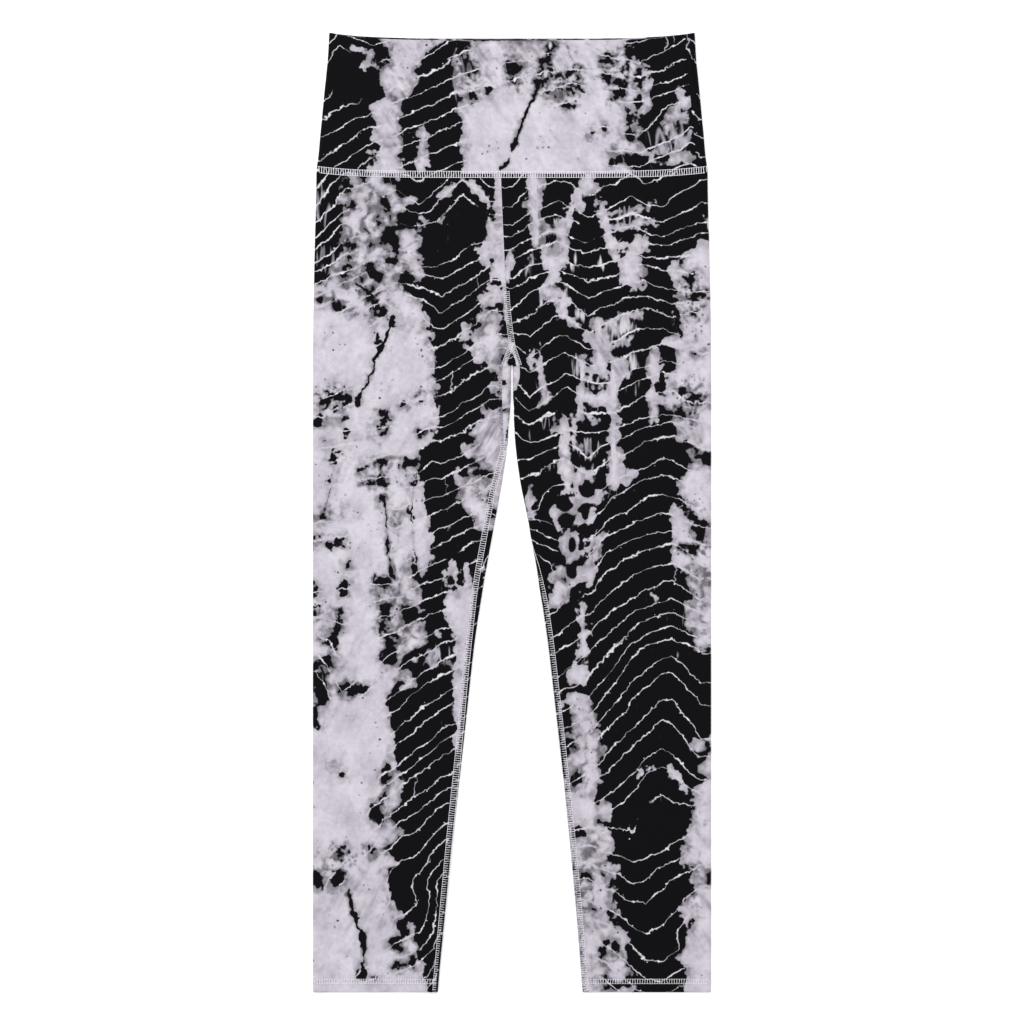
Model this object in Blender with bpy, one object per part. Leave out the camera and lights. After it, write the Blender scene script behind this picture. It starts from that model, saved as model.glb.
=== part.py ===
"""High-waist leggings in stretch knit, laid flat with the front upward.

Metres, +Z up. +Y runs from the hems to the waist and +X to the wearer's left leg. The origin is the middle of
the footprint, on the surface that the garment lies on. Each piece of cloth is one closed wall: two waistband
halves of doubled knit, two legs that are each cut in one and folded at the outer side, and the gusset between
their inseams. Tables are in millimetres; a row's down is its distance below the waist corners.
"""

import math
from bisect import bisect_right
from collections import namedtuple

import bmesh
import bpy
from mathutils import Vector

MM = 0.001
LENGTH = 959.0 * MM  # waist corners to hem edge
KNIT = 1.0 * MM  # one layer of cloth
DOUBLED = 2.0 * KNIT  # the waistband, and the hems where they are turned up
FOLD_RADIUS = 2.9 * MM  # outer radius where a flat tube folds over at its side
SHOULDER = 24.0 * MM  # how far in from a fold the upper layer takes to settle
SEAM_GAP = 0.3 * MM  # between two pieces that a seam joins

WAIST_SEAM = 141.0 * MM  # down to the waist seam at the centre front
WAIST_SEAM_LIFT = 5.0 * MM  # how much higher that seam lies at the sides and behind
LIFT_FADES = 60.0 * MM  # below the seam, over which the rows become level
BAND_TOP = 4.8 * MM  # height of the waistband's upper face where it lies flat
BAND_DIP_FRONT = 7.5 * MM  # how far its top edge sags below the corners, in front
BAND_DIP_BACK = 5.5 * MM
DIP_POWER = 5  # a sag that is level in the middle and quick at the corners
SIDE_SEAM_ON_FRONT = 9.6 * MM  # in from the +X fold, on the upper layer
SIDE_SEAM_BEHIND = 4.6 * MM  # in from the -X fold, on the lower layer

GUSSET_FRONT_POINT = 310.0 * MM  # down to the gusset's upper corner in front
GUSSET_BACK_POINT = 297.0 * MM  # and behind
CROTCH = 333.0 * MM  # down to the top of the gap between the legs
CROTCH_HALF_GAP = 0.7 * MM  # half the gap's width there
GUSSET_TIP_LEFT = 395.0 * MM  # down to the gusset's end on each inseam
GUSSET_TIP_RIGHT = 412.0 * MM

HEM_DEPTH = 14.0 * MM  # cloth turned up inside the hem
EDGE_ROUND = 0.7 * MM  # length over which a folded edge rounds off
EDGE_INSET = 0.5 * MM  # how far each face draws in at that edge

FRONT_COLUMNS = 9  # points across a leg's upper layer
FOLD_STEPS = 6  # steps round its outer fold
BACK_COLUMNS = 5  # points across its lower layer
EDGE_COLUMNS = 7  # and along the last of each layer, up to the seam
EDGE_MARGIN = 16.0 * MM  # width of that last part
BAND_COLUMNS = 24
GUSSET_COLUMNS = 11
FOLD_CROWDING = 30.0  # how much closer together the points lie on a fold
SHOULDER_CROWDING = 0.9  # and on its shoulder
FINE_STEPS = 300  # steps in working out where the points lie
SLOPE_STEP = 0.5 * MM  # distance to each side over which a face's slope is taken
SHARP_ANGLE = math.radians(50)  # faces that meet at more than this stay sharp
ROUGHNESS = 0.7

Waist = namedtuple("Waist", "down half_width")
WAISTBAND = (
    Waist(0, 182.6),
    Waist(27, 184.1),
    Waist(47, 186.0),
    Waist(67, 188.0),
    Waist(87, 189.8),
    Waist(107, 191.7),
    Waist(127, 193.4),
    Waist(141, 195.4),
)

Outer = namedtuple("Outer", "down half_width")
OUTER_FOLDS = (
    Outer(136, 195.4),
    Outer(167, 195.8),
    Outer(207, 197.0),
    Outer(250, 197.9),
    Outer(307, 198.9),
    Outer(360, 199.0),
    Outer(959, 199.0),
)

Centre = namedtuple("Centre", "down front behind")
CENTRE_SEAMS = (
    Centre(136, -11.2, -4.0),
    Centre(178, -9.6, -3.6),
    Centre(267, -5.0, -1.4),
    Centre(297, -2.0, 0.0),
    Centre(310, 0.0, 0.0),
)

# A leg's inner fold is this far from the centre line. front_seam and back_seam say how far in from that fold
# the leg's two edges are: positive on the upper layer, negative on the lower. Where the two are the same, the
# edges meet in the inseam; above that the gusset lies between them.
Inner = namedtuple("Inner", "down half_gap front_seam back_seam")
INNER_LEFT = (
    Inner(333, 0.7, 7.0, -9.0),
    Inner(341, 0.8, 7.2, -8.2),
    Inner(352, 0.9, 5.0, -7.2),
    Inner(364, 1.1, 2.0, -6.3),
    Inner(376, 1.5, -0.6, -5.6),
    Inner(388, 1.9, -2.7, -4.9),
    Inner(395, 2.3, -3.5, -4.5),
    Inner(396, 2.3, -4.0, -4.0),
    Inner(407, 3.0, -4.5, -4.5),
    Inner(447, 8.0, -5.0, -5.0),
    Inner(483, 15.2, -4.4, -4.4),
    Inner(505, 19.0, -2.6, -2.6),
    Inner(530, 23.4, 0.0, 0.0),
    Inner(555, 27.4, 2.4, 2.4),
    Inner(577, 30.6, 3.5, 3.5),
    Inner(607, 35.0, 3.5, 3.5),
    Inner(667, 42.0, 3.5, 3.5),
    Inner(747, 51.0, 3.5, 3.5),
    Inner(827, 59.0, 3.5, 3.5),
    Inner(887, 64.4, 3.5, 3.5),
    Inner(959, 70.2, 3.4, 3.4),
)
INNER_RIGHT = (
    Inner(333, 0.7, 8.8, -9.0),
    Inner(345, 0.9, 9.0, -8.0),
    Inner(357, 1.1, 9.0, -6.2),
    Inner(369, 1.4, 8.5, -4.0),
    Inner(381, 2.2, 7.3, -1.6),
    Inner(393, 3.3, 5.7, 0.7),
    Inner(403, 3.9, 4.7, 2.2),
    Inner(412, 4.5, 4.2, 3.0),
    Inner(413, 4.6, 3.6, 3.6),
    Inner(437, 7.8, 6.0, 6.0),
    Inner(472, 13.9, 8.0, 8.0),
    Inner(527, 24.0, 8.0, 8.0),
    Inner(557, 29.2, 7.8, 7.8),
    Inner(594, 35.0, 6.3, 6.3),
    Inner(632, 39.8, 5.6, 5.6),
    Inner(715, 48.9, 4.5, 4.5),
    Inner(807, 59.0, 3.8, 3.8),
    Inner(864, 64.7, 3.5, 3.5),
    Inner(939, 72.4, 2.6, 2.6),
    Inner(959, 74.0, 2.6, 2.6),
)

Settled = namedtuple("Settled", "down height")
LEG_TOPS = (  # height of a leg's upper face where it lies flat
    Settled(136, 4.3),
    Settled(172, 2.9),
    Settled(915, 2.9),
    Settled(943, 4.4),
    Settled(959, 4.4),
)

# Soft troughs in the upper layer. angle is from +X towards +Y, in degrees.
Crease = namedtuple("Crease", "x down angle length width depth")
CREASES = (
    Crease(-26, 318, 118, 120, 11, 0.5),
    Crease(24, 322, 66, 110, 12, 0.4),
    Crease(-62, 372, 151, 150, 16, 0.5),
    Crease(70, 384, 31, 150, 16, 0.5),
    Crease(-118, 560, 12, 130, 18, 0.4),
    Crease(128, 610, 168, 130, 18, 0.4),
    Crease(-136, 806, 8, 100, 16, 0.4),
    Crease(132, 778, 172, 110, 16, 0.4),
)

HIP_ROWS = (152, 168, 188, 212, 240, 268, 297, 303, 310, 321)
LEG_STEP = 29.0 * MM  # from one row of a leg to the next, below the gusset
CROSSING_STEP = 9.0 * MM  # and where its inseam crosses the inner fold
CROSSINGS = {"left": (483.0 * MM, 577.0 * MM), "right": (413.0 * MM, 445.0 * MM)}
GUSSET_FAN = (150, 122, 103, 90, 77, 58, 30)  # degrees, turning over the top of the gap from -X to +X
BAND_ROWS = 9

SIDES = {"left": 1.0, "right": -1.0}
INNERS = {"left": INNER_LEFT, "right": INNER_RIGHT}
GUSSET_TIPS = {"left": GUSSET_TIP_LEFT, "right": GUSSET_TIP_RIGHT}
GUSSET_STEPS = {"left": 10, "right": 12}
PAST_TIP = 1.0 * MM  # from a gusset's end to the row where the leg's two edges meet

Point = namedtuple("Point", "place outward")
Skin = namedtuple("Skin", "inset thickness")


def read(table, column, down):
    """A column of a table at a distance down, in metres, on a curve that never passes beyond its rows."""
    downs = [row.down * MM for row in table]
    values = [getattr(row, column) * MM for row in table]
    if down <= downs[0]:
        return values[0]
    if down >= downs[-1]:
        return values[-1]
    rises = [
        (values[i + 1] - values[i]) / (downs[i + 1] - downs[i]) for i in range(len(table) - 1)
    ]
    slopes = [rises[0]]
    for before, after in zip(rises, rises[1:]):
        slopes.append(2 * before * after / (before + after) if before * after > 0 else 0.0)
    slopes.append(rises[-1])
    i = bisect_right(downs, down) - 1
    span = downs[i + 1] - downs[i]
    t = (down - downs[i]) / span
    return (
        (1 + 2 * t) * (1 - t) ** 2 * values[i]
        + t * (1 - t) ** 2 * span * slopes[i]
        + t**2 * (3 - 2 * t) * values[i + 1]
        - t**2 * (1 - t) * span * slopes[i + 1]
    )


def settle(t):
    """1 at t = 0, falling smoothly to 0 at t = 1 and beyond."""
    t = min(max(t, 0.0), 1.0)
    return (1 - t) ** 2 * (1 + 2 * t)


def crease_depth(x, down):
    depth = 0.0
    for crease in CREASES:
        angle = math.radians(crease.angle)
        right = x - crease.x * MM
        up = crease.down * MM - down
        along = right * math.cos(angle) + up * math.sin(angle)
        across = up * math.cos(angle) - right * math.sin(angle)
        reach = settle(2 * abs(along) / (crease.length * MM))
        depth += crease.depth * MM * reach * math.exp(-((across / (crease.width * MM)) ** 2))
    return depth


def crotch_distance(x, down):
    """How far a point of the upper layer is from the edge of the gap between the legs."""
    if down < CROTCH:
        return math.hypot(x, CROTCH - down) - CROTCH_HALF_GAP
    side = "left" if x > 0 else "right"
    return abs(x) - read(INNERS[side], "half_gap", down)


def leg_top(x, down):
    """Height of the upper face of the legs: it drops from each fold to where the cloth lies settled."""
    level = read(LEG_TOPS, "height", down)
    from_outer = read(OUTER_FOLDS, "half_width", down) - abs(x)
    from_crotch = crotch_distance(x, down)
    fullness = settle((from_outer - FOLD_RADIUS) / SHOULDER)
    fullness += settle((from_crotch - FOLD_RADIUS) / SHOULDER)
    return level + (2 * FOLD_RADIUS - level) * min(fullness, 1.0) - crease_depth(x, down)


def band_top(x, down):
    half_width = read(WAISTBAND, "half_width", down)
    fullness = settle((half_width - abs(x) - FOLD_RADIUS) / SHOULDER)
    return BAND_TOP + (2 * FOLD_RADIUS - BAND_TOP) * fullness


def outward_of(top, x, down):
    slope_x = (top(x + SLOPE_STEP, down) - top(x - SLOPE_STEP, down)) / (2 * SLOPE_STEP)
    return Vector((-slope_x, 0.0, 1.0)).normalized()


def round_fold(from_edge, face, side):
    """Where a wall lies as it turns over at a fold: how far in, how high, and which way it faces. The fold's
    edge is on the side given, and face is 1 on the upper layer and -1 on the lower."""
    turn = from_edge / FOLD_RADIUS * math.pi / 2
    inset = FOLD_RADIUS * (1 - math.cos(turn))
    height = FOLD_RADIUS * (1 + face * math.sin(turn))
    return inset, height, Vector((side * math.cos(turn), 0.0, face * math.sin(turn)))


def on_tube(edge, width, side, way, top, down):
    """A point of a flat tube's outer face, as x, height, outward and face. way is measured round the tube
    from its fold at edge, positive over the upper layer, and may go on round the fold at its far side."""
    face = 1.0 if way >= 0 else -1.0
    way = abs(way)
    if way > width:
        way = 2 * width - way
        face = -face
    if way < FOLD_RADIUS:
        inset, height, outward = round_fold(way, face, side)
        return edge - side * inset, height, outward, face
    if width - way < FOLD_RADIUS:
        inset, height, outward = round_fold(width - way, face, -side)
        return edge - side * (width - inset), height, outward, face
    x = edge - side * way
    if face > 0:
        return x, top(x, down), outward_of(top, x, down), face
    return x, 0.0, Vector((0.0, 0.0, -1.0)), face


def spread(start, end, width, count):
    """count places from start to end of a way round a tube, closer together on its folds and shoulders."""
    ways = [start + (end - start) * i / FINE_STEPS for i in range(FINE_STEPS + 1)]
    reached = [0.0]
    for before, after in zip(ways, ways[1:]):
        way = abs(before + after) / 2
        from_fold = min(way, abs(width - way))
        weight = 1.0
        if from_fold < FOLD_RADIUS:
            weight += FOLD_CROWDING
        elif before > 0 and from_fold < FOLD_RADIUS + SHOULDER:
            weight += SHOULDER_CROWDING
        reached.append(reached[-1] + weight)
    places = []
    for i in range(count):
        target = reached[-1] * i / (count - 1)
        k = min(bisect_right(reached, target), FINE_STEPS) - 1
        part = (target - reached[k]) / (reached[k + 1] - reached[k])
        places.append(ways[k] + (ways[k + 1] - ways[k]) * part)
    return places


def seam_lift(x, face, half_width):
    """How much higher the waist seam lies than at the centre front."""
    if face < 0:
        return WAIST_SEAM_LIFT
    return WAIST_SEAM_LIFT * min(abs(x) / half_width, 1.0) ** DIP_POWER


def to_y(down):
    return LENGTH / 2 - down


def leg_row(name, down):
    """One section of a leg, from its front edge round the outer fold to its back edge."""
    side = SIDES[name]
    outer = read(OUTER_FOLDS, "half_width", down)
    if down < CROTCH:
        width = math.inf
        front_end, back_end = centre_ends(name, down, outer)
    else:
        inner = INNERS[name]
        width = outer - read(inner, "half_gap", down)
        front_end = width - read(inner, "front_seam", down) - SEAM_GAP / 2
        back_end = -(width + read(inner, "back_seam", down)) + SEAM_GAP / 2
    fade = settle((down - WAIST_SEAM) / LIFT_FADES)
    row = []
    for way in leg_ways(front_end, back_end, width):
        x, height, outward, face = on_tube(side * outer, width, side, way, leg_top, down)
        y = to_y(down) + fade * seam_lift(x, face, outer)
        row.append(Point(Vector((x, y, height)), outward))
    return row


def leg_ways(front_end, back_end, width):
    """Places round a leg, from its front edge over the upper layer and the outer fold to its back edge."""
    front_margin = min(front_end, width) - EDGE_MARGIN
    back_margin = min(-back_end, width) - EDGE_MARGIN
    ways = spread(front_end, front_margin, width, EDGE_COLUMNS)[:-1]
    ways += spread(front_margin, FOLD_RADIUS, width, FRONT_COLUMNS)
    ways += [FOLD_RADIUS * (1 - 2 * i / FOLD_STEPS) for i in range(1, FOLD_STEPS)]
    ways += spread(-FOLD_RADIUS, -back_margin, width, BACK_COLUMNS)[:-1]
    return ways + spread(-back_margin, back_end, width, EDGE_COLUMNS)


def centre_ends(name, down, outer):
    """Where a leg's edges are above the crotch, as ways round from its outer fold: on the centre seams, and
    from the gusset's points down along its sides."""
    side = SIDES[name]
    inner = INNERS[name][0]
    ends = []
    for point, column, reach in (
        (GUSSET_FRONT_POINT, "front", inner.front_seam),
        (GUSSET_BACK_POINT, "behind", -inner.back_seam),
    ):
        corner = CROTCH_HALF_GAP + reach * MM
        x = side * read(CENTRE_SEAMS, column, down)
        if down > point:
            x = corner * (down - point) / (CROTCH - point)
        ends.append(outer - x - SEAM_GAP / 2)
    return ends[0], -ends[1]


def gusset_downs(name):
    steps = GUSSET_STEPS[name]
    return [CROTCH + (GUSSET_TIPS[name] - CROTCH) * i / steps for i in range(steps + 1)]


def leg_downs(name):
    downs = [WAIST_SEAM + SEAM_GAP / 2] + [down * MM for down in HIP_ROWS] + gusset_downs(name)
    downs.append(GUSSET_TIPS[name] + PAST_TIP)
    hem_top = LENGTH - HEM_DEPTH
    crossing_start, crossing_end = CROSSINGS[name]
    downs += stretch(downs[-1], crossing_start, LEG_STEP)
    downs += stretch(crossing_start, crossing_end, CROSSING_STEP)
    downs += stretch(crossing_end, hem_top - KNIT, LEG_STEP)
    return downs + [hem_top, LENGTH - EDGE_ROUND, LENGTH]


def stretch(start, end, step):
    """Places from start, left out, to end, as far apart as step or a little less."""
    steps = math.ceil((end - start) / step)
    return [start + (end - start) * i / steps for i in range(1, steps + 1)]


def leg_skins(downs):
    """Single cloth down to the hem, doubled inside it, and rounded at the folded edge."""
    skins = [Skin(0.0, KNIT) for _ in downs[:-3]]
    skins += [Skin(0.0, DOUBLED), Skin(0.0, DOUBLED)]
    return skins + [Skin(EDGE_INSET, DOUBLED - 2 * EDGE_INSET)]


def band_row(part, spans):
    """One section across the waistband. part runs from 0 at its top edge to 1 at the waist seam."""
    down = part * WAIST_SEAM
    half_width = read(WAISTBAND, "half_width", down)
    width = 2 * half_width
    start, end = (span(width) for span in spans)
    row = []
    for way in spread(start, end, width, BAND_COLUMNS):
        x, height, outward, face = on_tube(half_width, width, 1.0, way, band_top, down)
        level = 1 - min(abs(x) / half_width, 1.0) ** DIP_POWER
        top_edge = to_y(0.0) - level * (BAND_DIP_FRONT if face > 0 else BAND_DIP_BACK)
        seam = to_y(WAIST_SEAM) + seam_lift(x, face, half_width) + SEAM_GAP / 2
        row.append(Point(Vector((x, top_edge + (seam - top_edge) * part, height)), outward))
    return row


def add_wall(name, rows, skins, colour):
    """A closed wall of cloth: the rows' points moved in by each row's skin for its outer face, and again by
    its thickness for its inner face, closed along all four edges."""
    mesh = bmesh.new()
    outer = []
    inner = []
    for row, skin in zip(rows, skins):
        outer.append([mesh.verts.new(p.place - p.outward * skin.inset) for p in row])
        depth = skin.inset + skin.thickness
        inner.append([mesh.verts.new(p.place - p.outward * depth) for p in row])
    last = len(rows) - 1
    end = len(rows[0]) - 1
    for i in range(last):
        for j in range(end):
            for grid in (outer, inner):
                mesh.faces.new((grid[i][j], grid[i][j + 1], grid[i + 1][j + 1], grid[i + 1][j]))
        for j in (0, end):
            close_edge(mesh, outer[i][j], outer[i + 1][j], inner[i + 1][j], inner[i][j])
    for i in (0, last):
        for j in range(end):
            mesh.faces.new((outer[i][j], outer[i][j + 1], inner[i][j + 1], inner[i][j]))
    bmesh.ops.recalc_face_normals(mesh, faces=mesh.faces)
    data = bpy.data.meshes.new(name)
    mesh.to_mesh(data)
    mesh.free()
    data.shade_smooth()
    data.set_sharp_from_angle(angle=SHARP_ANGLE)
    data.materials.append(knit_material(name + "_knit", colour))
    piece = bpy.data.objects.new(name, data)
    bpy.context.scene.collection.objects.link(piece)


def close_edge(mesh, outer, next_outer, next_inner, inner):
    """Two triangles across a wall's edge. They are split from the higher outer corner, so that the edges of two
    pieces twist alike along the seam between them."""
    if outer.co.y > next_outer.co.y:
        mesh.faces.new((outer, next_outer, next_inner))
        mesh.faces.new((outer, next_inner, inner))
    else:
        mesh.faces.new((next_outer, inner, outer))
        mesh.faces.new((next_outer, next_inner, inner))


def knit_material(name, colour):
    material = bpy.data.materials.new(name)
    material.use_nodes = True
    shader = material.node_tree.nodes["Principled BSDF"]
    shader.inputs["Base Color"].default_value = (*colour, 1.0)
    shader.inputs["Roughness"].default_value = ROUGHNESS
    shader.inputs["Metallic"].default_value = 0.0
    return material


def add_leg(name, colour):
    downs = leg_downs(name)
    add_wall("leg_" + name, [leg_row(name, down) for down in downs], leg_skins(downs), colour)


def add_band_half(name, spans, colour):
    """Doubled knit from its folded top edge, rounded off, to the waist seam."""
    parts = [0.0, EDGE_ROUND / WAIST_SEAM]
    parts += [i / (BAND_ROWS - 1) for i in range(1, BAND_ROWS)]
    skins = [Skin(EDGE_INSET, DOUBLED - 2 * EDGE_INSET)]
    skins += [Skin(0.0, DOUBLED) for _ in parts[1:]]
    rows = [band_row(part, spans) for part in parts]
    add_wall(name, rows, skins, colour)


def gusset_side_row(name, down):
    """A section of the gusset where it wraps a leg's inner fold, from its front seam to its back seam."""
    side = SIDES[name]
    inner = INNERS[name]
    outer = read(OUTER_FOLDS, "half_width", down)
    width = outer - read(inner, "half_gap", down)
    start = width - read(inner, "front_seam", down) + SEAM_GAP / 2
    end = width - read(inner, "back_seam", down) - SEAM_GAP / 2
    row = []
    for way in spread(start, end, width, GUSSET_COLUMNS):
        x, height, outward, _ = on_tube(side * outer, width, side, way, leg_top, down)
        row.append(Point(Vector((x, to_y(down), height)), outward))
    return row


def fan_reach(turn, side_reach, rise):
    """Distance from the top of the gap to the straight side of the gusset, in the direction turn."""
    inset = SEAM_GAP / 2 * math.hypot(1 / side_reach, 1 / rise)
    return (1 - inset) / (abs(math.cos(turn)) / side_reach + math.sin(turn) / rise)


def gusset_fan_row(degrees):
    """A section of the gusset where it turns over the top of the gap, along one direction out of it."""
    turn = math.radians(degrees)
    inner = INNERS["left" if degrees < 90 else "right"][0]
    front = fan_reach(turn, CROTCH_HALF_GAP + inner.front_seam * MM, CROTCH - GUSSET_FRONT_POINT)
    back = fan_reach(turn, CROTCH_HALF_GAP - inner.back_seam * MM, CROTCH - GUSSET_BACK_POINT)
    direction = Vector((math.cos(turn), math.sin(turn), 0.0))
    row = []
    for way in spread(front - CROTCH_HALF_GAP, CROTCH_HALF_GAP - back, math.inf, GUSSET_COLUMNS):
        face = 1.0 if way >= 0 else -1.0
        inset = abs(way)
        height = 0.0
        outward = Vector((0.0, 0.0, face))
        if inset < FOLD_RADIUS:
            inset, height, facing = round_fold(inset, face, 1.0)
            outward = Vector((0.0, 0.0, facing.z)) - direction * facing.x
        place = direction * (CROTCH_HALF_GAP + inset)
        if face > 0 and abs(way) >= FOLD_RADIUS:
            height = leg_top(place.x, CROTCH - place.y)
            outward = outward_of(leg_top, place.x, CROTCH - place.y)
        row.append(Point(Vector((place.x, to_y(CROTCH) + place.y, height)), outward))
    return row


def add_gusset(colour):
    rows = [gusset_side_row("right", down) for down in reversed(gusset_downs("right"))]
    rows += [gusset_fan_row(degrees) for degrees in GUSSET_FAN]
    rows += [gusset_side_row("left", down) for down in gusset_downs("left")]
    add_wall("gusset", rows, [Skin(0.0, KNIT) for _ in rows], colour)


def clear_scene():
    for old in list(bpy.data.objects):
        bpy.data.objects.remove(old, do_unlink=True)


clear_scene()
add_band_half(
    "waistband_front",
    (
        lambda width: SIDE_SEAM_ON_FRONT + SEAM_GAP / 2,
        lambda width: width + SIDE_SEAM_BEHIND - SEAM_GAP / 2,
    ),
    (0.30, 0.28, 0.32),
)
add_band_half(
    "waistband_back",
    (
        lambda width: SIDE_SEAM_ON_FRONT - SEAM_GAP / 2,
        lambda width: SIDE_SEAM_BEHIND + SEAM_GAP / 2 - width,
    ),
    (0.24, 0.22, 0.26),
)
add_leg("left", (0.10, 0.09, 0.11))
add_leg("right", (0.42, 0.39, 0.45))
add_gusset((0.60, 0.56, 0.64))
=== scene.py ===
"""High-waist leggings in pole-dyed stretch knit, laid flat with the front upward on a plain pale floor.

Made in the order in which they are sewn: two legs, the gusset between them, the doubled waistband, and then
the seams and hems. Sizes are in millimetres until a mesh is made. x is measured from the centre line towards
the wearer's left, and down from the waist corners towards the hems.
"""

import math
from collections import namedtuple

import bpy
import numpy as np
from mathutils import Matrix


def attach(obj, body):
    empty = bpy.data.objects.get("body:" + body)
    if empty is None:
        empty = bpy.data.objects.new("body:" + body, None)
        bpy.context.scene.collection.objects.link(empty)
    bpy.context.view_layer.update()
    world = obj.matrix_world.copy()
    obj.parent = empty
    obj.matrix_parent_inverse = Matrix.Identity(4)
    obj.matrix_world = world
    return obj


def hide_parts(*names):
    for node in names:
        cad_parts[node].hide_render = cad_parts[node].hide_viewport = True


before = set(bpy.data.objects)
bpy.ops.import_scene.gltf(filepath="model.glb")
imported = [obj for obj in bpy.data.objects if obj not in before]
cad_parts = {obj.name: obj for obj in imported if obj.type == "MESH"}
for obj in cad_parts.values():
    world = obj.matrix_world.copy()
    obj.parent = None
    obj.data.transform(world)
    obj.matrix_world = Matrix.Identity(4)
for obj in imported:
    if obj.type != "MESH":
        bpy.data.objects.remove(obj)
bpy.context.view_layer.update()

# ---------------------------------------------------------------------------------------------------------
# Legs. Each is one piece of single jersey folded at the outer side and closed by an inseam, which rolls on to
# the front. Its hem is turned up inside. Dyed while it was wrapped on a pole: thread kept thin lines pale.

MM = 0.001
LENGTH = 959.0  # waist corners to hem edge
KNIT = 0.95  # thickness of the jersey
FOLD = 2.9  # outer radius where a flat tube folds over at its side
SHOULDER = 24.0  # how far in from a fold the upper layer takes to settle
WAIST_SEAM = 141.0
WAIST_SEAM_LIFT = 5.0  # how much higher that seam lies at the sides and behind
LIFT_FADES = 60.0
DIP_POWER = 5
GUSSET_FRONT_POINT = 310.0
GUSSET_BACK_POINT = 297.0
CROTCH = 333.0
CROTCH_HALF_GAP = 0.7
HEM_DEPTH = 14.0
HEM_SEAM = LENGTH - HEM_DEPTH + 3.0
SEAM_GAP = 0.1
SEAM_DIP = 0.35  # how deep a seam pulls the cloth in, and how far to each side
SEAM_DIP_REACH = 1.5
EDGE_RADIUS = 1.0  # of the half turn that cloth makes over a hem or the waistband's top
EDGE_TURNS = 6
EDGE_STEP = 1.6  # cloth used up by each of those turns
NO_INNER_FOLD = 1e6  # a leg's width above the crotch, where its edges are seamed to the other leg
MARK = 0.35  # how strongly needle holes, with painted shade between the stitches, show along the waist seam and the hems
MARK_FADE = 2.0


def rows_of(kind, *rows):
    """A table whose rows name their columns as kind does."""
    return tuple(kind(*row) for row in rows)


Outer = namedtuple("Outer", "down half_width")
OUTER_FOLDS = rows_of(
    Outer,
    (136, 195.4), (167, 195.8), (207, 197.0), (250, 197.9), (307, 198.9), (360, 199.0), (959, 199.0),
)

Centre = namedtuple("Centre", "down front behind")
CENTRE_SEAMS = rows_of(
    Centre,
    (136, -11.2, -4.0), (178, -9.6, -3.6), (267, -5.0, -1.4), (297, -2.0, 0.0), (310, 0.0, 0.0),
)

# A leg's inner fold is half_gap from the centre line. front_seam and back_seam are how far in from that fold
# the leg's two edges lie: positive on the upper layer, negative on the lower.
Inner = namedtuple("Inner", "down half_gap front_seam back_seam")
INNERS = {
    "left": rows_of(
        Inner,
        (333, 0.7, 7.0, -9.0), (341, 0.8, 7.2, -8.2), (352, 0.9, 5.0, -7.2), (364, 1.1, 2.0, -6.3),
        (376, 1.5, -0.6, -5.6), (388, 1.9, -2.7, -4.9), (395, 2.3, -3.5, -4.5), (396, 2.3, -4.0, -4.0),
        (407, 3.0, -4.5, -4.5), (447, 8.0, -5.0, -5.0), (483, 15.2, -4.4, -4.4), (505, 19.0, -2.6, -2.6),
        (530, 23.4, 0.0, 0.0), (555, 27.4, 2.4, 2.4), (577, 30.6, 3.5, 3.5), (607, 35.0, 3.5, 3.5),
        (667, 42.0, 3.5, 3.5), (747, 51.0, 3.5, 3.5), (827, 59.0, 3.5, 3.5), (887, 64.4, 3.5, 3.5),
        (959, 70.2, 3.4, 3.4),
    ),
    "right": rows_of(
        Inner,
        (333, 0.7, 8.8, -9.0), (345, 0.9, 9.0, -8.0), (357, 1.1, 9.0, -6.2), (369, 1.4, 8.5, -4.0),
        (381, 2.2, 7.3, -1.6), (393, 3.3, 5.7, 0.7), (403, 3.9, 4.7, 2.2), (412, 4.5, 4.2, 3.0),
        (413, 4.6, 3.6, 3.6), (437, 7.8, 6.0, 6.0), (472, 13.9, 8.0, 8.0), (527, 24.0, 8.0, 8.0),
        (557, 29.2, 7.8, 7.8), (594, 35.0, 6.3, 6.3), (632, 39.8, 5.6, 5.6), (715, 48.9, 4.5, 4.5),
        (807, 59.0, 3.8, 3.8), (864, 64.7, 3.5, 3.5), (939, 72.4, 2.6, 2.6), (959, 74.0, 2.6, 2.6),
    ),
}
GUSSET_TIPS = {"left": 395.0, "right": 412.0}
SIDES = {"left": 1.0, "right": -1.0}
LEG_CLOTH = {"left": 1000.0, "right": 3000.0}  # where each leg is read in the dye's unevenness

Settled = namedtuple("Settled", "down height")
LEG_TOPS = rows_of(
    Settled,
    (136, 4.3), (172, 2.9), (915, 2.9), (943, 4.4), (959, 4.4),
)

# Soft troughs, and ridges where the depth is negative. angle is from +x up towards the waist, in degrees.
Crease = namedtuple("Crease", "x down angle length width depth")
CREASES = rows_of(
    Crease,
    (-26, 318, 118, 120, 11, 0.5), (24, 322, 66, 110, 12, 0.4), (-62, 372, 151, 150, 16, 0.5),
    (70, 384, 31, 150, 16, 0.5), (-118, 560, 12, 130, 18, 0.4), (128, 610, 168, 130, 18, 0.4),
    (-136, 806, 8, 100, 16, 0.4), (132, 778, 172, 110, 16, 0.4), (-14, 330, 104, 96, 3.2, -0.45),
    (-23, 352, 112, 84, 3.6, 0.3), (-31, 331, 126, 70, 4.0, -0.3), (17, 346, 74, 80, 3.4, -0.35),
    (29, 338, 58, 66, 4.2, 0.25), (-88, 250, 160, 120, 13, -0.4), (96, 232, 22, 130, 14, -0.4),
    (-150, 690, 172, 90, 10, -0.35), (104, 700, 14, 80, 9, -0.3), (-92, 884, 164, 90, 10, -0.35),
    (140, 900, 10, 90, 11, -0.3),
)


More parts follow.
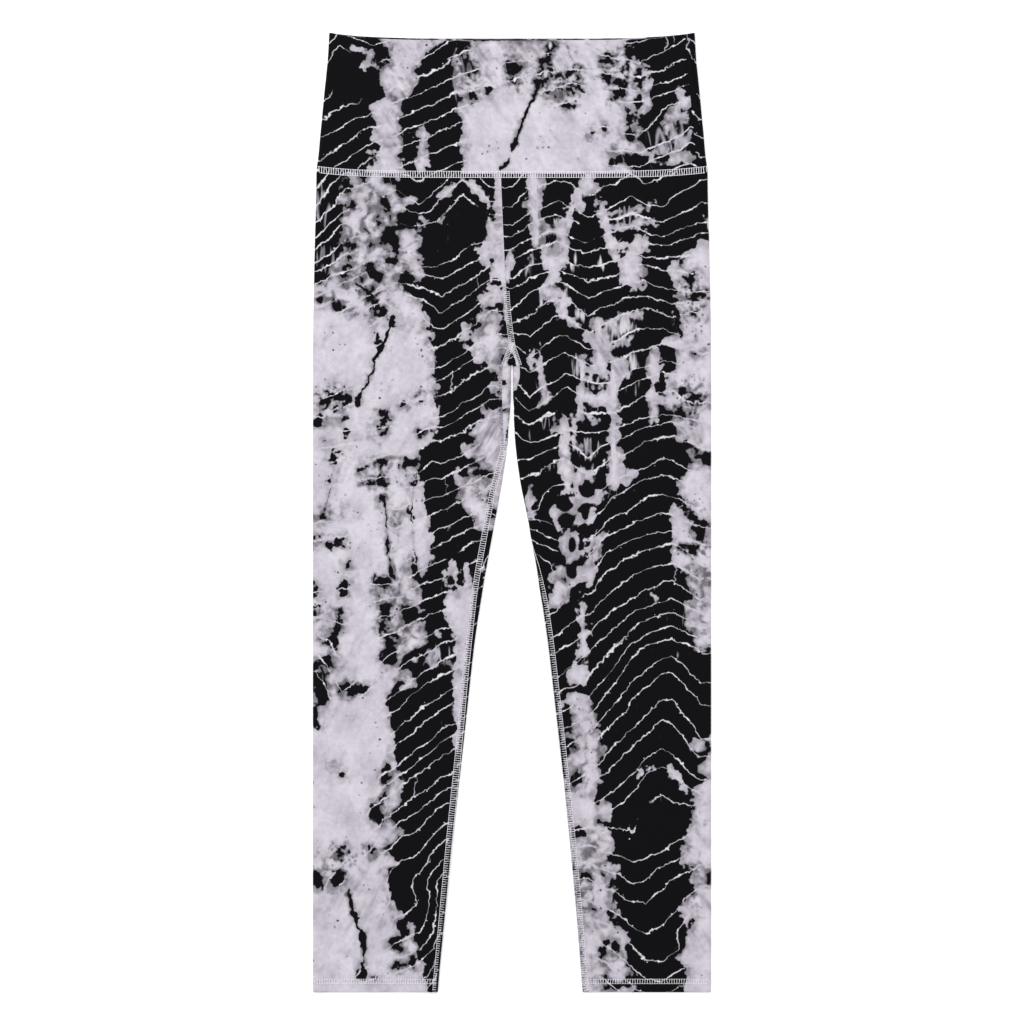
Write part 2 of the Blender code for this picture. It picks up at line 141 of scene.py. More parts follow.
def read(table, column, down):
    """A column of a table at each distance down, on a curve that never passes beyond its rows."""
    downs = np.array([row.down for row in table], float)
    values = np.array([getattr(row, column) for row in table], float)
    rises = np.diff(values) / np.diff(downs)
    before, after = rises[:-1], rises[1:]
    turning = before * after <= 0
    between = 2 * before * after / np.where(turning, 1.0, before + after)
    slopes = np.concatenate(([rises[0]], np.where(turning, 0.0, between), [rises[-1]]))
    down = np.clip(down, downs[0], downs[-1])
    i = np.clip(np.searchsorted(downs, down, "right") - 1, 0, len(table) - 2)
    span = downs[i + 1] - downs[i]
    t = (down - downs[i]) / span
    return (
        (1 + 2 * t) * (1 - t) ** 2 * values[i]
        + t * (1 - t) ** 2 * span * slopes[i]
        + t**2 * (3 - 2 * t) * values[i + 1]
        - t**2 * (1 - t) * span * slopes[i + 1]
    )


def settle(t):
    """1 at t = 0, falling smoothly to 0 at t = 1 and beyond."""
    t = np.clip(t, 0.0, 1.0)
    return (1 - t) ** 2 * (1 + 2 * t)


def crease_depth(x, down):
    """How far the creases lower the upper layer at each point."""
    depth = np.zeros(np.broadcast(x, down).shape)
    for crease in CREASES:
        angle = math.radians(crease.angle)
        right = x - crease.x
        up = crease.down - down
        along = right * math.cos(angle) + up * math.sin(angle)
        across = up * math.cos(angle) - right * math.sin(angle)
        reach = settle(2 * np.abs(along) / crease.length)
        depth += crease.depth * reach * np.exp(-((across / crease.width) ** 2))
    return depth


def leg_top(x, down):
    """Height of the upper face of the legs: it drops from each fold to where the cloth lies settled."""
    level = read(LEG_TOPS, "height", down)
    half_gap = np.where(x > 0, *(read(INNERS[name], "half_gap", down) for name in ("left", "right")))
    above = np.hypot(x, CROTCH - down) - CROTCH_HALF_GAP
    from_crotch = np.where(down < CROTCH, above, np.abs(x) - half_gap)
    from_outer = read(OUTER_FOLDS, "half_width", down) - np.abs(x)
    fullness = settle((from_outer - FOLD) / SHOULDER) + settle((from_crotch - FOLD) / SHOULDER)
    return level + (2 * FOLD - level) * np.minimum(fullness, 1.0) - crease_depth(x, down)


def stack(*parts):
    return np.stack(np.broadcast_arrays(*parts), -1)


def on_tube(edge, width, side, way, top, down):
    """Points of a flat tube's outer face, as x and height, and which way each faces. way is measured round
    the tube from its fold at edge, positive over the upper layer, and may pass the fold at its far side."""
    face = np.where(way >= 0, 1.0, -1.0)
    way = np.abs(way)
    face = np.where(way > width, -face, face)
    way = np.where(way > width, 2 * width - way, way)
    near = way < FOLD
    far = ~near & (width - way < FOLD)
    turn = np.where(near, way, np.where(far, width - way, FOLD)) / FOLD * math.pi / 2
    drawn_in = FOLD * (1 - np.cos(turn))
    x = edge - side * np.where(near, drawn_in, np.where(far, width - drawn_in, way))
    step = 0.5
    slope = (top(x + step, down) - top(x - step, down)) / (2 * step)
    on_top = ~near & ~far & (face > 0)
    flat_height = np.where(face > 0, top(x, down), 0.0)
    height = np.where(near | far, FOLD * (1 + face * np.sin(turn)), flat_height)
    towards = np.where(near, side, -side)
    out_x = np.where(near | far, towards * np.cos(turn), np.where(on_top, -slope, 0.0))
    out_z = np.where(near | far, face * np.sin(turn), face)
    outward = stack(out_x, np.zeros_like(out_x), out_z)
    return x, height, outward / np.linalg.norm(outward, axis=-1, keepdims=True)


def seam_lift(x, on_front, half_width):
    """How much higher the waist seam lies than at the centre front."""
    front = WAIST_SEAM_LIFT * np.minimum(np.abs(x) / half_width, 1.0) ** DIP_POWER
    return np.where(on_front, front, WAIST_SEAM_LIFT)


def seam_dipped(place, outward, to_edge):
    """The same points, pulled in beside the piece's seams but never below the surface it lies on."""
    dip = SEAM_DIP * np.exp(-((to_edge / SEAM_DIP_REACH) ** 2))
    place = place - dip[..., None] * outward
    place[..., 2] = place[..., 2].clip(0.0)
    return place


def turned_edge(place, outward, forward, ply_rows):
    """Rows that carry cloth over an edge and back inside it: a half turn, then the rows of the ply inside,
    each given as the row of place that it lies under."""
    rows, facings = [], []
    for i in range(1, EDGE_TURNS):
        turn = math.pi * i / EDGE_TURNS
        drop = EDGE_RADIUS * (1 - math.cos(turn))
        rows.append(place[-1] - drop * outward[-1] + EDGE_RADIUS * math.sin(turn) * forward)
        facings.append(outward[-1] * math.cos(turn) + forward * math.sin(turn))
    for i in ply_rows:
        rows.append(place[i] - 2 * EDGE_RADIUS * outward[i])
        facings.append(-outward[i])
    return np.concatenate((place, rows)), np.concatenate((outward, facings))


def add_wall(name, place, outward, fields, material):
    """A closed wall of cloth from the points of its outer face, in rows. fields are the numbers that its
    points carry for the dye, by name."""
    rows, columns = place.shape[:2]
    count = rows * columns
    inside = place - KNIT * outward
    points = np.concatenate((place.reshape(-1, 3), inside.reshape(-1, 3))) * MM
    index = np.arange(count).reshape(rows, columns)
    a, b, c, d = (
        part.ravel() for part in (index[:-1, :-1], index[:-1, 1:], index[1:, 1:], index[1:, :-1])
    )
    outer = np.stack((a, b, c, d), 1)
    faces = [outer, outer[:, ::-1] + count]
    for edge, reverse in ((index[0], 1), (index[-1], 0), (index[:, 0], 0), (index[:, -1], 1)):
        rim = np.stack((edge[:-1], edge[1:], edge[1:] + count, edge[:-1] + count), 1)
        faces.append(rim[:, ::-1] if reverse else rim)
    quads = np.concatenate(faces)
    first = points[outer[len(outer) // 2]]
    facing = np.cross(first[1] - first[0], first[3] - first[0]) @ outward.reshape(-1, 3)[a[len(a) // 2]]
    if facing < 0:
        quads = quads[:, ::-1]
    mesh = bpy.data.meshes.new(name)
    mesh.vertices.add(len(points))
    mesh.vertices.foreach_set("co", points.ravel())
    mesh.loops.add(quads.size)
    mesh.loops.foreach_set("vertex_index", quads.ravel())
    mesh.polygons.add(len(quads))
    mesh.polygons.foreach_set("loop_start", np.arange(len(quads)) * 4)
    mesh.update(calc_edges=True)
    for field, values in fields.items():
        whole = np.concatenate((values.reshape(count, -1), values.reshape(count, -1)))
        kind = "FLOAT" if whole.shape[1] == 1 else "FLOAT_VECTOR"
        attribute = mesh.attributes.new(field, kind, "POINT")
        attribute.data.foreach_set("value" if kind == "FLOAT" else "vector", whole.ravel())
    mesh.shade_smooth()
    mesh.set_sharp_from_angle(angle=math.radians(60))
    mesh.materials.append(material)
    wall = bpy.data.objects.new(name, mesh)
    bpy.context.scene.collection.objects.link(wall)
    return wall


# How the wraps of thread lay round the pole: the height at which one wrap crosses each column of x, where a
# larger number is nearer the hem. Stripe says where the cloth between two folds of the bundle took the dye.
# Patch is an oval of dye that crept under the wraps, or of cloth kept pale where dyed is 0; a few thin ones on
# the gusset are painted shade. Each patch is laid over those before it. The other columns are spots, each a
# Haze: combs are where dye crossed the wraps in teeth, specks and blots where it flecked and mottled pale
# cloth, plains where it is solid with no lines, shades where pale cloth is grey, by grey dye and, by the
# crotch and on the gusset, by painted shade of its folds, and washes where the black is thin.
Stripe = namedtuple("Stripe", "down start end")
Patch = namedtuple("Patch", "x down across along angle dyed", defaults=(0, 1))
Crack = namedtuple("Crack", "x down half_width")
Haze = namedtuple("Haze", "x down across along strength")
Tally = namedtuple("Tally", "down wraps")
EVEN = (Tally(0, 0), Tally(999, 0))
SPOTS = ("combs", "specks", "blots", "plains", "shades", "washes")
Chart = namedtuple(
    "Chart",
    ("knots", "wraps", "pitch", "tallies", "stripes", "patches", "cracks", *SPOTS),
    defaults=[()] * 7,
)


def blend_max(a, b, reach):
    """The larger of two fields, rounded off where they cross."""
    overlap = np.maximum(reach - np.abs(a - b), 0.0) / reach
    return np.maximum(a, b) + overlap**2 * reach / 4


def inside_oval(patch, x, down):
    """Distance inside an oval, negative outside it."""
    angle = math.radians(patch.angle)
    right = x - patch.x
    up = patch.down - down
    along = (right * math.cos(angle) + up * math.sin(angle)) / (patch.across / 2)
    over = (up * math.cos(angle) - right * math.sin(angle)) / (patch.along / 2)
    reach = np.maximum(np.hypot(along, over), 1e-3)
    growth = np.hypot(along / (patch.across / 2), over / (patch.along / 2)) / reach
    return (1 - reach) / growth.clip(2 / max(patch.across, patch.along))


def crack_lines(chart, x, down):
    """How far each point lies to the right of the nearest dark crack, and the crack's half width there."""
    right = np.full(x.shape, 14.0)
    half = np.full(x.shape, -9.0)
    for nodes in chart.cracks:
        downs = [node.down for node in nodes]
        away = x - np.interp(down, downs, [node.x for node in nodes])
        reach = (downs[0] - 6, *downs, downs[-1] + 6)
        width = np.interp(down, reach, (-5.0, *(node.half_width for node in nodes), -5.0))
        near = (np.abs(away) < 9) & (down > reach[0]) & (down < reach[-1]) & (width > half)
        right = np.where(near, away, right)
        half = np.where(near, width, half)
    return right, half


def dye_depth(chart, x, down):
    """How far inside dyed cloth each point is, in millimetres: negative where the wraps kept it pale."""
    depth = np.full(x.shape, -60.0)
    for stripe in chart.stripes:
        sides = np.minimum(x - read(stripe, "start", down), read(stripe, "end", down) - x)
        ends = np.minimum(down - stripe[0].down, stripe[-1].down - down)
        depth = blend_max(depth, np.minimum(sides, ends), 4.0)
    for patch in chart.patches:
        if patch.dyed:
            depth = blend_max(depth, inside_oval(patch, x, down) + 0.8, 2.5)
        else:
            depth = -blend_max(-depth, inside_oval(patch, x, down) + 0.4, 2.5)
    return depth.clip(-40, 40)


def wrap_count(chart, x, down):
    """How many wraps of thread lie above each point. The thread's pale lines are at whole numbers."""
    lie = np.zeros(x.shape)
    for i, knot in enumerate(chart.knots):
        column = read(chart.wraps, chart.wraps[0]._fields[i + 1], down)
        bump = np.interp(x, chart.knots, np.eye(len(chart.knots))[i])
        lie += column * bump
    return (down - lie) / chart.pitch + read(chart.tallies, "wraps", down)


def haze(spots, x, down):
    """The strength of the strongest spot at each point."""
    strength = np.zeros(x.shape)
    for spot in spots:
        away = np.hypot((x - spot.x) / (spot.across / 2), (down - spot.down) / (spot.along / 2))
        strength = np.maximum(strength, spot.strength * settle(away / 1.6))
    return strength


def chart_fields(chart, x, down):
    """All that a chart says at each point."""
    spots = (haze(getattr(chart, name), x, down) for name in SPOTS)
    return dye_depth(chart, x, down), wrap_count(chart, x, down), *spots, *crack_lines(chart, x, down)


def dye_fields(charts, weight, x, down, cloth, seam_holes_and_shade):
    """The numbers that the dye's material reads at each point. weight is how much the second chart counts,
    and seam_holes_and_shade how much the needle holes, with painted shade between the stitches, show."""
    first = chart_fields(charts[0], x, down)
    second = first if charts[1] is charts[0] else chart_fields(charts[1], x, down)
    mixed = [a + (b - a) * weight for a, b in zip(first, second)]
    step = 1.0
    slopes = []
    for dx, dy in ((step, 0.0), (0.0, step)):
        ahead, behind = (
            [wrap_count(chart, x + sign * dx, down + sign * dy) for chart in charts] for sign in (1, -1)
        )
        slopes.append(
            ((ahead[0] - behind[0]) * (1 - weight) + (ahead[1] - behind[1]) * weight) / (2 * step)
        )
    spacing = 1 / np.hypot(*slopes).clip(0.02)
    return {
        "dye": stack(mixed[0], mixed[1], spacing),
        "marks": stack(*mixed[2:5]),
        "fade": stack(*mixed[5:8]),
        "crack": stack(*mixed[8:], seam_holes_and_shade),
        "cloth": cloth,
    }


# Wearer's right leg, front: a wide pale fold outside, a dyed one inside it crossed by rising lines.
RightWraps = namedtuple("RightWraps", "down outer flank mid_out mid edge valley inner seam")
RIGHT_FRONT = Chart(
    knots=(-196, -170, -115, -92, -80, -70, -50, -22),
    wraps=rows_of(
        RightWraps,
        (141, 62, 30, 6, 16, 10, 0, -16, 2), (172, 60, 30, 8, 22, 13, 0, -20, 4),
        (194, 56, 28, 8, 13, 8, 0, -21, -10), (222, 52, 28, 0, 8, 5, 0, -12, -28),
        (245, 40, 22, -12, -7, -3, 0, -13, -32), (275, 30, 14, -24, -18, -7, 0, -14, -35),
        (318, 20, 10, -4, 2, 3, 0, -11, -30), (368, 24, 14, 6, 6, 5, 0, -11, -28),
        (414, 22, 16, 12, 5, -4, 0, -10, -26), (466, 24, 20, 12, 6, 2, 0, -9, -22),
        (508, 30, 26, 20, 11, 5, 0, -11, -26), (552, 34, 28, 22, 9, 4, 0, -6, -18),
        (588, 22, 30, 20, 8, 4, 0, -4, -14), (622, 24, 48, 24, 13, 8, 0, -9, -24),
        (668, 42, 66, 34, 16, 8, 0, -9, -26), (718, 100, 74, 38, 16, 9, 0, -10, -28),
        (768, 104, 78, 32, 16, 8, 0, -10, -28), (818, 108, 84, 34, 27, 12, 0, -10, -28),
        (844, 112, 88, 44, 34, 14, 0, -12, -30), (868, 114, 90, 56, 44, 24, 0, -14, -34),
        (904, 112, 88, 44, 36, 20, 0, -12, -34), (959, 112, 88, 44, 30, 18, 0, -16, -40),
    ),
    pitch=16.5,
    tallies=(Tally(141, 0), Tally(838, 0), Tally(912, -2.4), Tally(959, -2.4)),
    stripes=(
        rows_of(
            Stripe,
            (130, -114, -19), (150, -112, -20), (172, -99, -23), (192, -94, -23), (212, -91, -24),
            (242, -92, -25), (260, -94, -23), (272, -92, -27), (289, -86, -34), (307, -82, -40),
            (317, -80, -43), (329, -78, -38), (335, -77, -28), (346, -77, -22), (366, -76, -21),
            (372, -75, -31), (390, -72, -35), (404, -78, -46), (420, -93, -48), (438, -93, -55),
            (463, -87, -56), (484, -84, -40), (492, -84, -36), (498, -82, -32), (503, -81, -18),
            (526, -80, -18), (540, -86, -18), (551, -92, -26), (558, -94, -50), (566, -94, -67),
            (584, -89, -66), (600, -87, -60), (614, -92, -57), (626, -112, -56), (648, -112, -58),
            (664, -124, -58), (678, -122, -58), (708, -120, -58), (720, -119, -57), (726, -118, -30),
            (750, -112, -30), (768, -113, -30), (782, -120, -30), (800, -112, -30), (816, -126, -30),
            (830, -116, -30), (838, -126, -30), (857, -124, -30), (880, -112, -30), (902, -99, -30),
            (922, -93, -30), (940, -88, -30), (980, -82, -30),
        ),
        rows_of(
            Stripe,
            (120, -240, -166), (150, -240, -168), (172, -240, -171), (197, -240, -168),
            (214, -240, -166), (228, -240, -173), (240, -240, -182), (250, -240, -194),
        ),
    ),
    patches=rows_of(
        Patch,
        (-148, 148, 7, 10), (-122, 150, 13, 20, 10), (-126, 168, 3, 20), (-103, 158, 26, 20),
        (-96, 174, 20, 14), (-170, 160, 9, 22, -30), (-119, 162, 9, 12, 20, 0),
        (-107, 168.5, 18, 2, 0, 0), (-113, 181, 20, 11, -16, 0), (-95, 185, 14, 2, -35, 0),
        (-161, 175, 7, 5), (-134, 192, 8, 12), (-120, 206, 15, 26, 30), (-104, 208, 30, 9, 62, 0),
        (-92, 196, 10, 5, -50, 0), (-124, 222, 7, 16), (-155, 215, 3, 3), (-150, 231, 26, 7, -12),
        (-166, 233, 14, 8, 30), (-140, 238, 16, 7, -50), (-144, 262, 9, 15, 20), (-134, 273, 20, 4, -40),
        (-106, 250, 16, 7, -35), (-94, 262, 12, 6, -60), (-97, 246, 8, 5, -30, 0),
        (-119, 292, 8, 13, 24), (-192, 266, 7, 9), (-170, 273, 16, 4, -20), (-134, 306, 6, 18, 14),
        (-183, 364, 17, 13, 10), (-185, 362, 9, 6, 10, 0), (-166, 363, 8, 13, 10),
        (-190, 386, 14, 10, 10), (-187, 391, 8, 5, 0, 0), (-173, 376, 6, 8, -40), (-168, 386, 12, 9, 30),
        (-164, 399, 5, 10, 30), (-132, 394, 14, 6, 40), (-133, 395, 13, 6, -45), (-130, 379, 9, 4),
        (-108, 371, 4, 6), (-94, 363, 5, 6), (-88, 400, 10, 7, 20), (-177, 416, 12, 3, -20),
        (-178, 428, 8, 9), (-180, 446, 4, 7), (-133, 430, 16, 8, 14), (-132, 444, 7, 17, 10),
        (-147, 437, 5, 4), (-144, 450, 9, 4), (-102, 432, 18, 9, 8), (-98, 448, 3, 8, 15),
        (-128, 463, 5, 6), (-128, 467, 6, 10, 10), (-102, 481, 8, 4, -40), (-117, 491, 4, 5, 20),
        (-187, 482, 18, 4, 10), (-173, 507, 5, 5), (-178, 512, 9, 3), (-197, 508, 5, 6),
        (-163, 533, 6, 5, -30), (-98, 532, 4, 10, 20), (-168, 556, 8, 16, -24), (-172, 577, 4, 5),
        (-173, 586, 4, 5), (-175, 597, 3, 8, 10), (-197, 560, 6, 14), (-197, 578, 5, 8),
        (-182, 608, 13, 10, 20), (-176, 598, 8, 6), (-130, 550, 12, 10, 20), (-133, 565, 6, 10, 10),
        (-126, 580, 13, 20, -18), (-97, 541, 9, 13, 20), (-102, 582, 18, 20, -25),
        (-88, 577, 7, 5, -40, 0), (-126, 601, 10, 16, 10), (-112, 609, 5, 4), (-122, 625, 16, 16),
        (-108, 640, 12, 8, 30, 0), (-104, 652, 18, 6, 25, 0), (-120, 640, 9, 7, 0, 0),
        (-100, 628, 9, 6, 30, 0), (-66, 627, 9, 6, 30, 0), (-77, 623, 14, 9, 36, 0),
        (-72, 604, 3, 16, 35, 0), (-183, 634, 15, 24, 16), (-198, 646, 8, 26), (-164, 655, 18, 12, -24),
        (-150, 656, 12, 5), (-192, 628, 12, 3, -48, 0), (-191, 655, 12, 34, 10), (-198, 684, 7, 18),
        (-128, 742, 8, 12, 10), (-124, 734, 5, 4, 40), (-135, 780, 11, 25, 14), (-130, 768, 6, 12),
        (-176, 736, 3, 3), (-170, 741, 3, 3), (-170, 820, 9, 12, 40), (-141, 818, 5, 8, 20),
        (-176, 846, 12, 13, -30), (-196, 846, 10, 10), (-109, 893, 16, 19), (-99, 905, 4, 28, 6, 0),
        (-116, 911, 12, 14), (-98, 927, 6, 9, 10), (-97, 930, 5, 5, 10), (-93, 934, 5, 30, 16, 0),
        (-149, 940, 9, 12, -10), (-138, 943, 6, 6), (-112, 933, 7, 6), (-180, 150, 32, 14, 30),
        (-183, 194, 28, 24, 24), (-186, 222, 24, 20, 24), (-103, 184, 20, 26, -30),
        (-104, 248, 20, 14, -50), (-20, 368, 20, 18), (-49, 398, 16, 36, 24), (-49, 436, 10, 30, 10),
        (-36, 432, 12, 16, 20), (-30, 441, 14, 8, -30), (-10, 448, 8, 6), (-23, 466, 8, 9),
        (-30, 288, 22, 5, 55), (-21.5, 160, 5, 50, 3), (-20, 184, 7, 12, 20), (-19, 250, 10, 5, 34),
        (-23, 232, 10, 6, 20), (-37, 221, 9, 20, 10), (-13, 252, 7, 6, 34), (-88, 222, 7, 52),
        (-27, 226, 12, 16, 24, 0), (-22, 263, 20, 7, 40, 0), (-26, 212, 16, 4, 34, 0),
        (-26, 340, 4, 20, 20), (-56.5, 546, 5, 46, 3, 0), (-61.5, 560, 4, 34, 10, 0),
        (-50, 562, 6, 36, -22, 0), (-45.5, 541, 3, 13, 0, 0), (-55, 563, 19, 26, 0, 0),
        (-56.5, 557, 2.5, 7, 10), (-36, 286, 15, 6, 38, 0), (-46, 304, 6, 22, 14, 0),
        (-8.5, 288, 4, 32, 10), (-17, 345, 3, 9, 24), (-9.5, 327, 2.5, 12), (-63.4, 157.7, 22, 5, 40, 0),
        (-33.6, 159.3, 30, 6, -43, 0), (-65.5, 180, 3, 14, -35, 0),
    ),
    cracks=(
        rows_of(
            Crack,
            (-119, 284, 3.2), (-122, 296, 1.2), (-127, 308, 1.3), (-131, 315, 3.6), (-134, 322, 2.2),
            (-139, 328, 1.2), (-137, 336, 0.9), (-143, 345, 1.2), (-146, 354, 1.3), (-152, 360, 2.4),
            (-155, 372, 3.2),
        ),
        rows_of(
            Crack,
            (-128, 466, 2.2), (-127, 480, 0.2), (-125, 496, 0.1), (-124, 504, 1.4), (-125, 516, 0.3),
            (-122, 530, 0.9), (-119, 541, 2.6), (-117, 546, 2.0),
        ),
        rows_of(
            Crack,
            (-96, 440, 0.2), (-99, 468, 0.0), (-101, 481, 0.8), (-99, 500, -0.5), (-98, 516, 0.1),
            (-95, 530, 0.8),
        ),
        rows_of(
            Crack,
            (-177, 425, 0.9), (-180, 446, 0.2), (-184, 467, 0.0), (-190, 481, 0.2),
        ),
        rows_of(
            Crack,
            (-163, 856, 0.8), (-162, 866, 1.2), (-158, 881, 2.6), (-155, 890, 1.0), (-151, 898, 1.2),
            (-149, 904, 3.8), (-148, 910, 2.2), (-148, 926, 0.8), (-149, 938, 2.2),
        ),
        rows_of(
            Crack,
            (-156, 250, 1.2), (-148, 256, 2.4), (-140, 262, 1.8), (-134, 270, 0.8),
        ),
    ),
    combs=rows_of(
        Haze,
        (-188, 174, 26, 60, 0.8), (-186, 226, 30, 40, 0.7), (-84, 400, 20, 34, 0.6),
        (-70, 622, 30, 36, 0.7),
    ),
    specks=rows_of(
        Haze,
        (-182, 364, 40, 40, 0.9), (-130, 386, 50, 60, 0.45), (-130, 440, 60, 50, 0.6),
        (-180, 500, 50, 60, 0.45), (-126, 520, 40, 90, 0.4), (-120, 590, 50, 60, 0.6),
        (-190, 575, 40, 60, 0.5), (-170, 820, 70, 40, 0.7), (-170, 740, 60, 40, 0.25),
        (-160, 260, 70, 50, 0.5), (-90, 370, 30, 60, 0.4), (-30, 450, 40, 40, 0.5),
    ),
    blots=rows_of(
        Haze,
        (-140, 200, 110, 120, 0.85), (-150, 255, 110, 60, 0.9), (-110, 590, 50, 120, 0.8),
        (-186, 640, 40, 90, 0.6), (-130, 450, 60, 60, 0.3), (-120, 780, 40, 90, 0.4),
        (-180, 840, 60, 60, 0.5), (-110, 920, 40, 60, 0.6), (-30, 440, 40, 80, 0.7),
        (-24, 300, 30, 70, 0.6),
    ),
    plains=rows_of(
        Haze,
        (-44, 192, 44, 30, 1.0), (-60, 204, 40, 26, 1.0), (-82, 216, 22, 30, 0.8),
        (-57, 540, 18, 36, 0.8), (-130, 206, 60, 96, 0.5),
    ),
    # The first three shades, beside the crotch, are painted shade of the drape folds there.
    shades=rows_of(
        Haze,
        (-160, 200, 60, 70, 0.1), (-12, 320, 12, 80, 0.9), (-30, 318, 7, 16, 1.0),
        (-20, 328, 14, 8, 1.0), (-22, 398, 30, 70, 1.3), (-14, 220, 14, 90, 0.5),
        (-110, 575, 50, 120, 0.5), (-180, 620, 50, 120, 0.4), (-120, 790, 40, 80, 0.5),
        (-150, 870, 90, 80, 0.4),
    ),
    washes=rows_of(
        Haze,
        (-188, 166, 8, 14, 0.7), (-76, 618, 22, 28, 0.7), (-174, 188, 10, 8, 0.5),
    ),
)

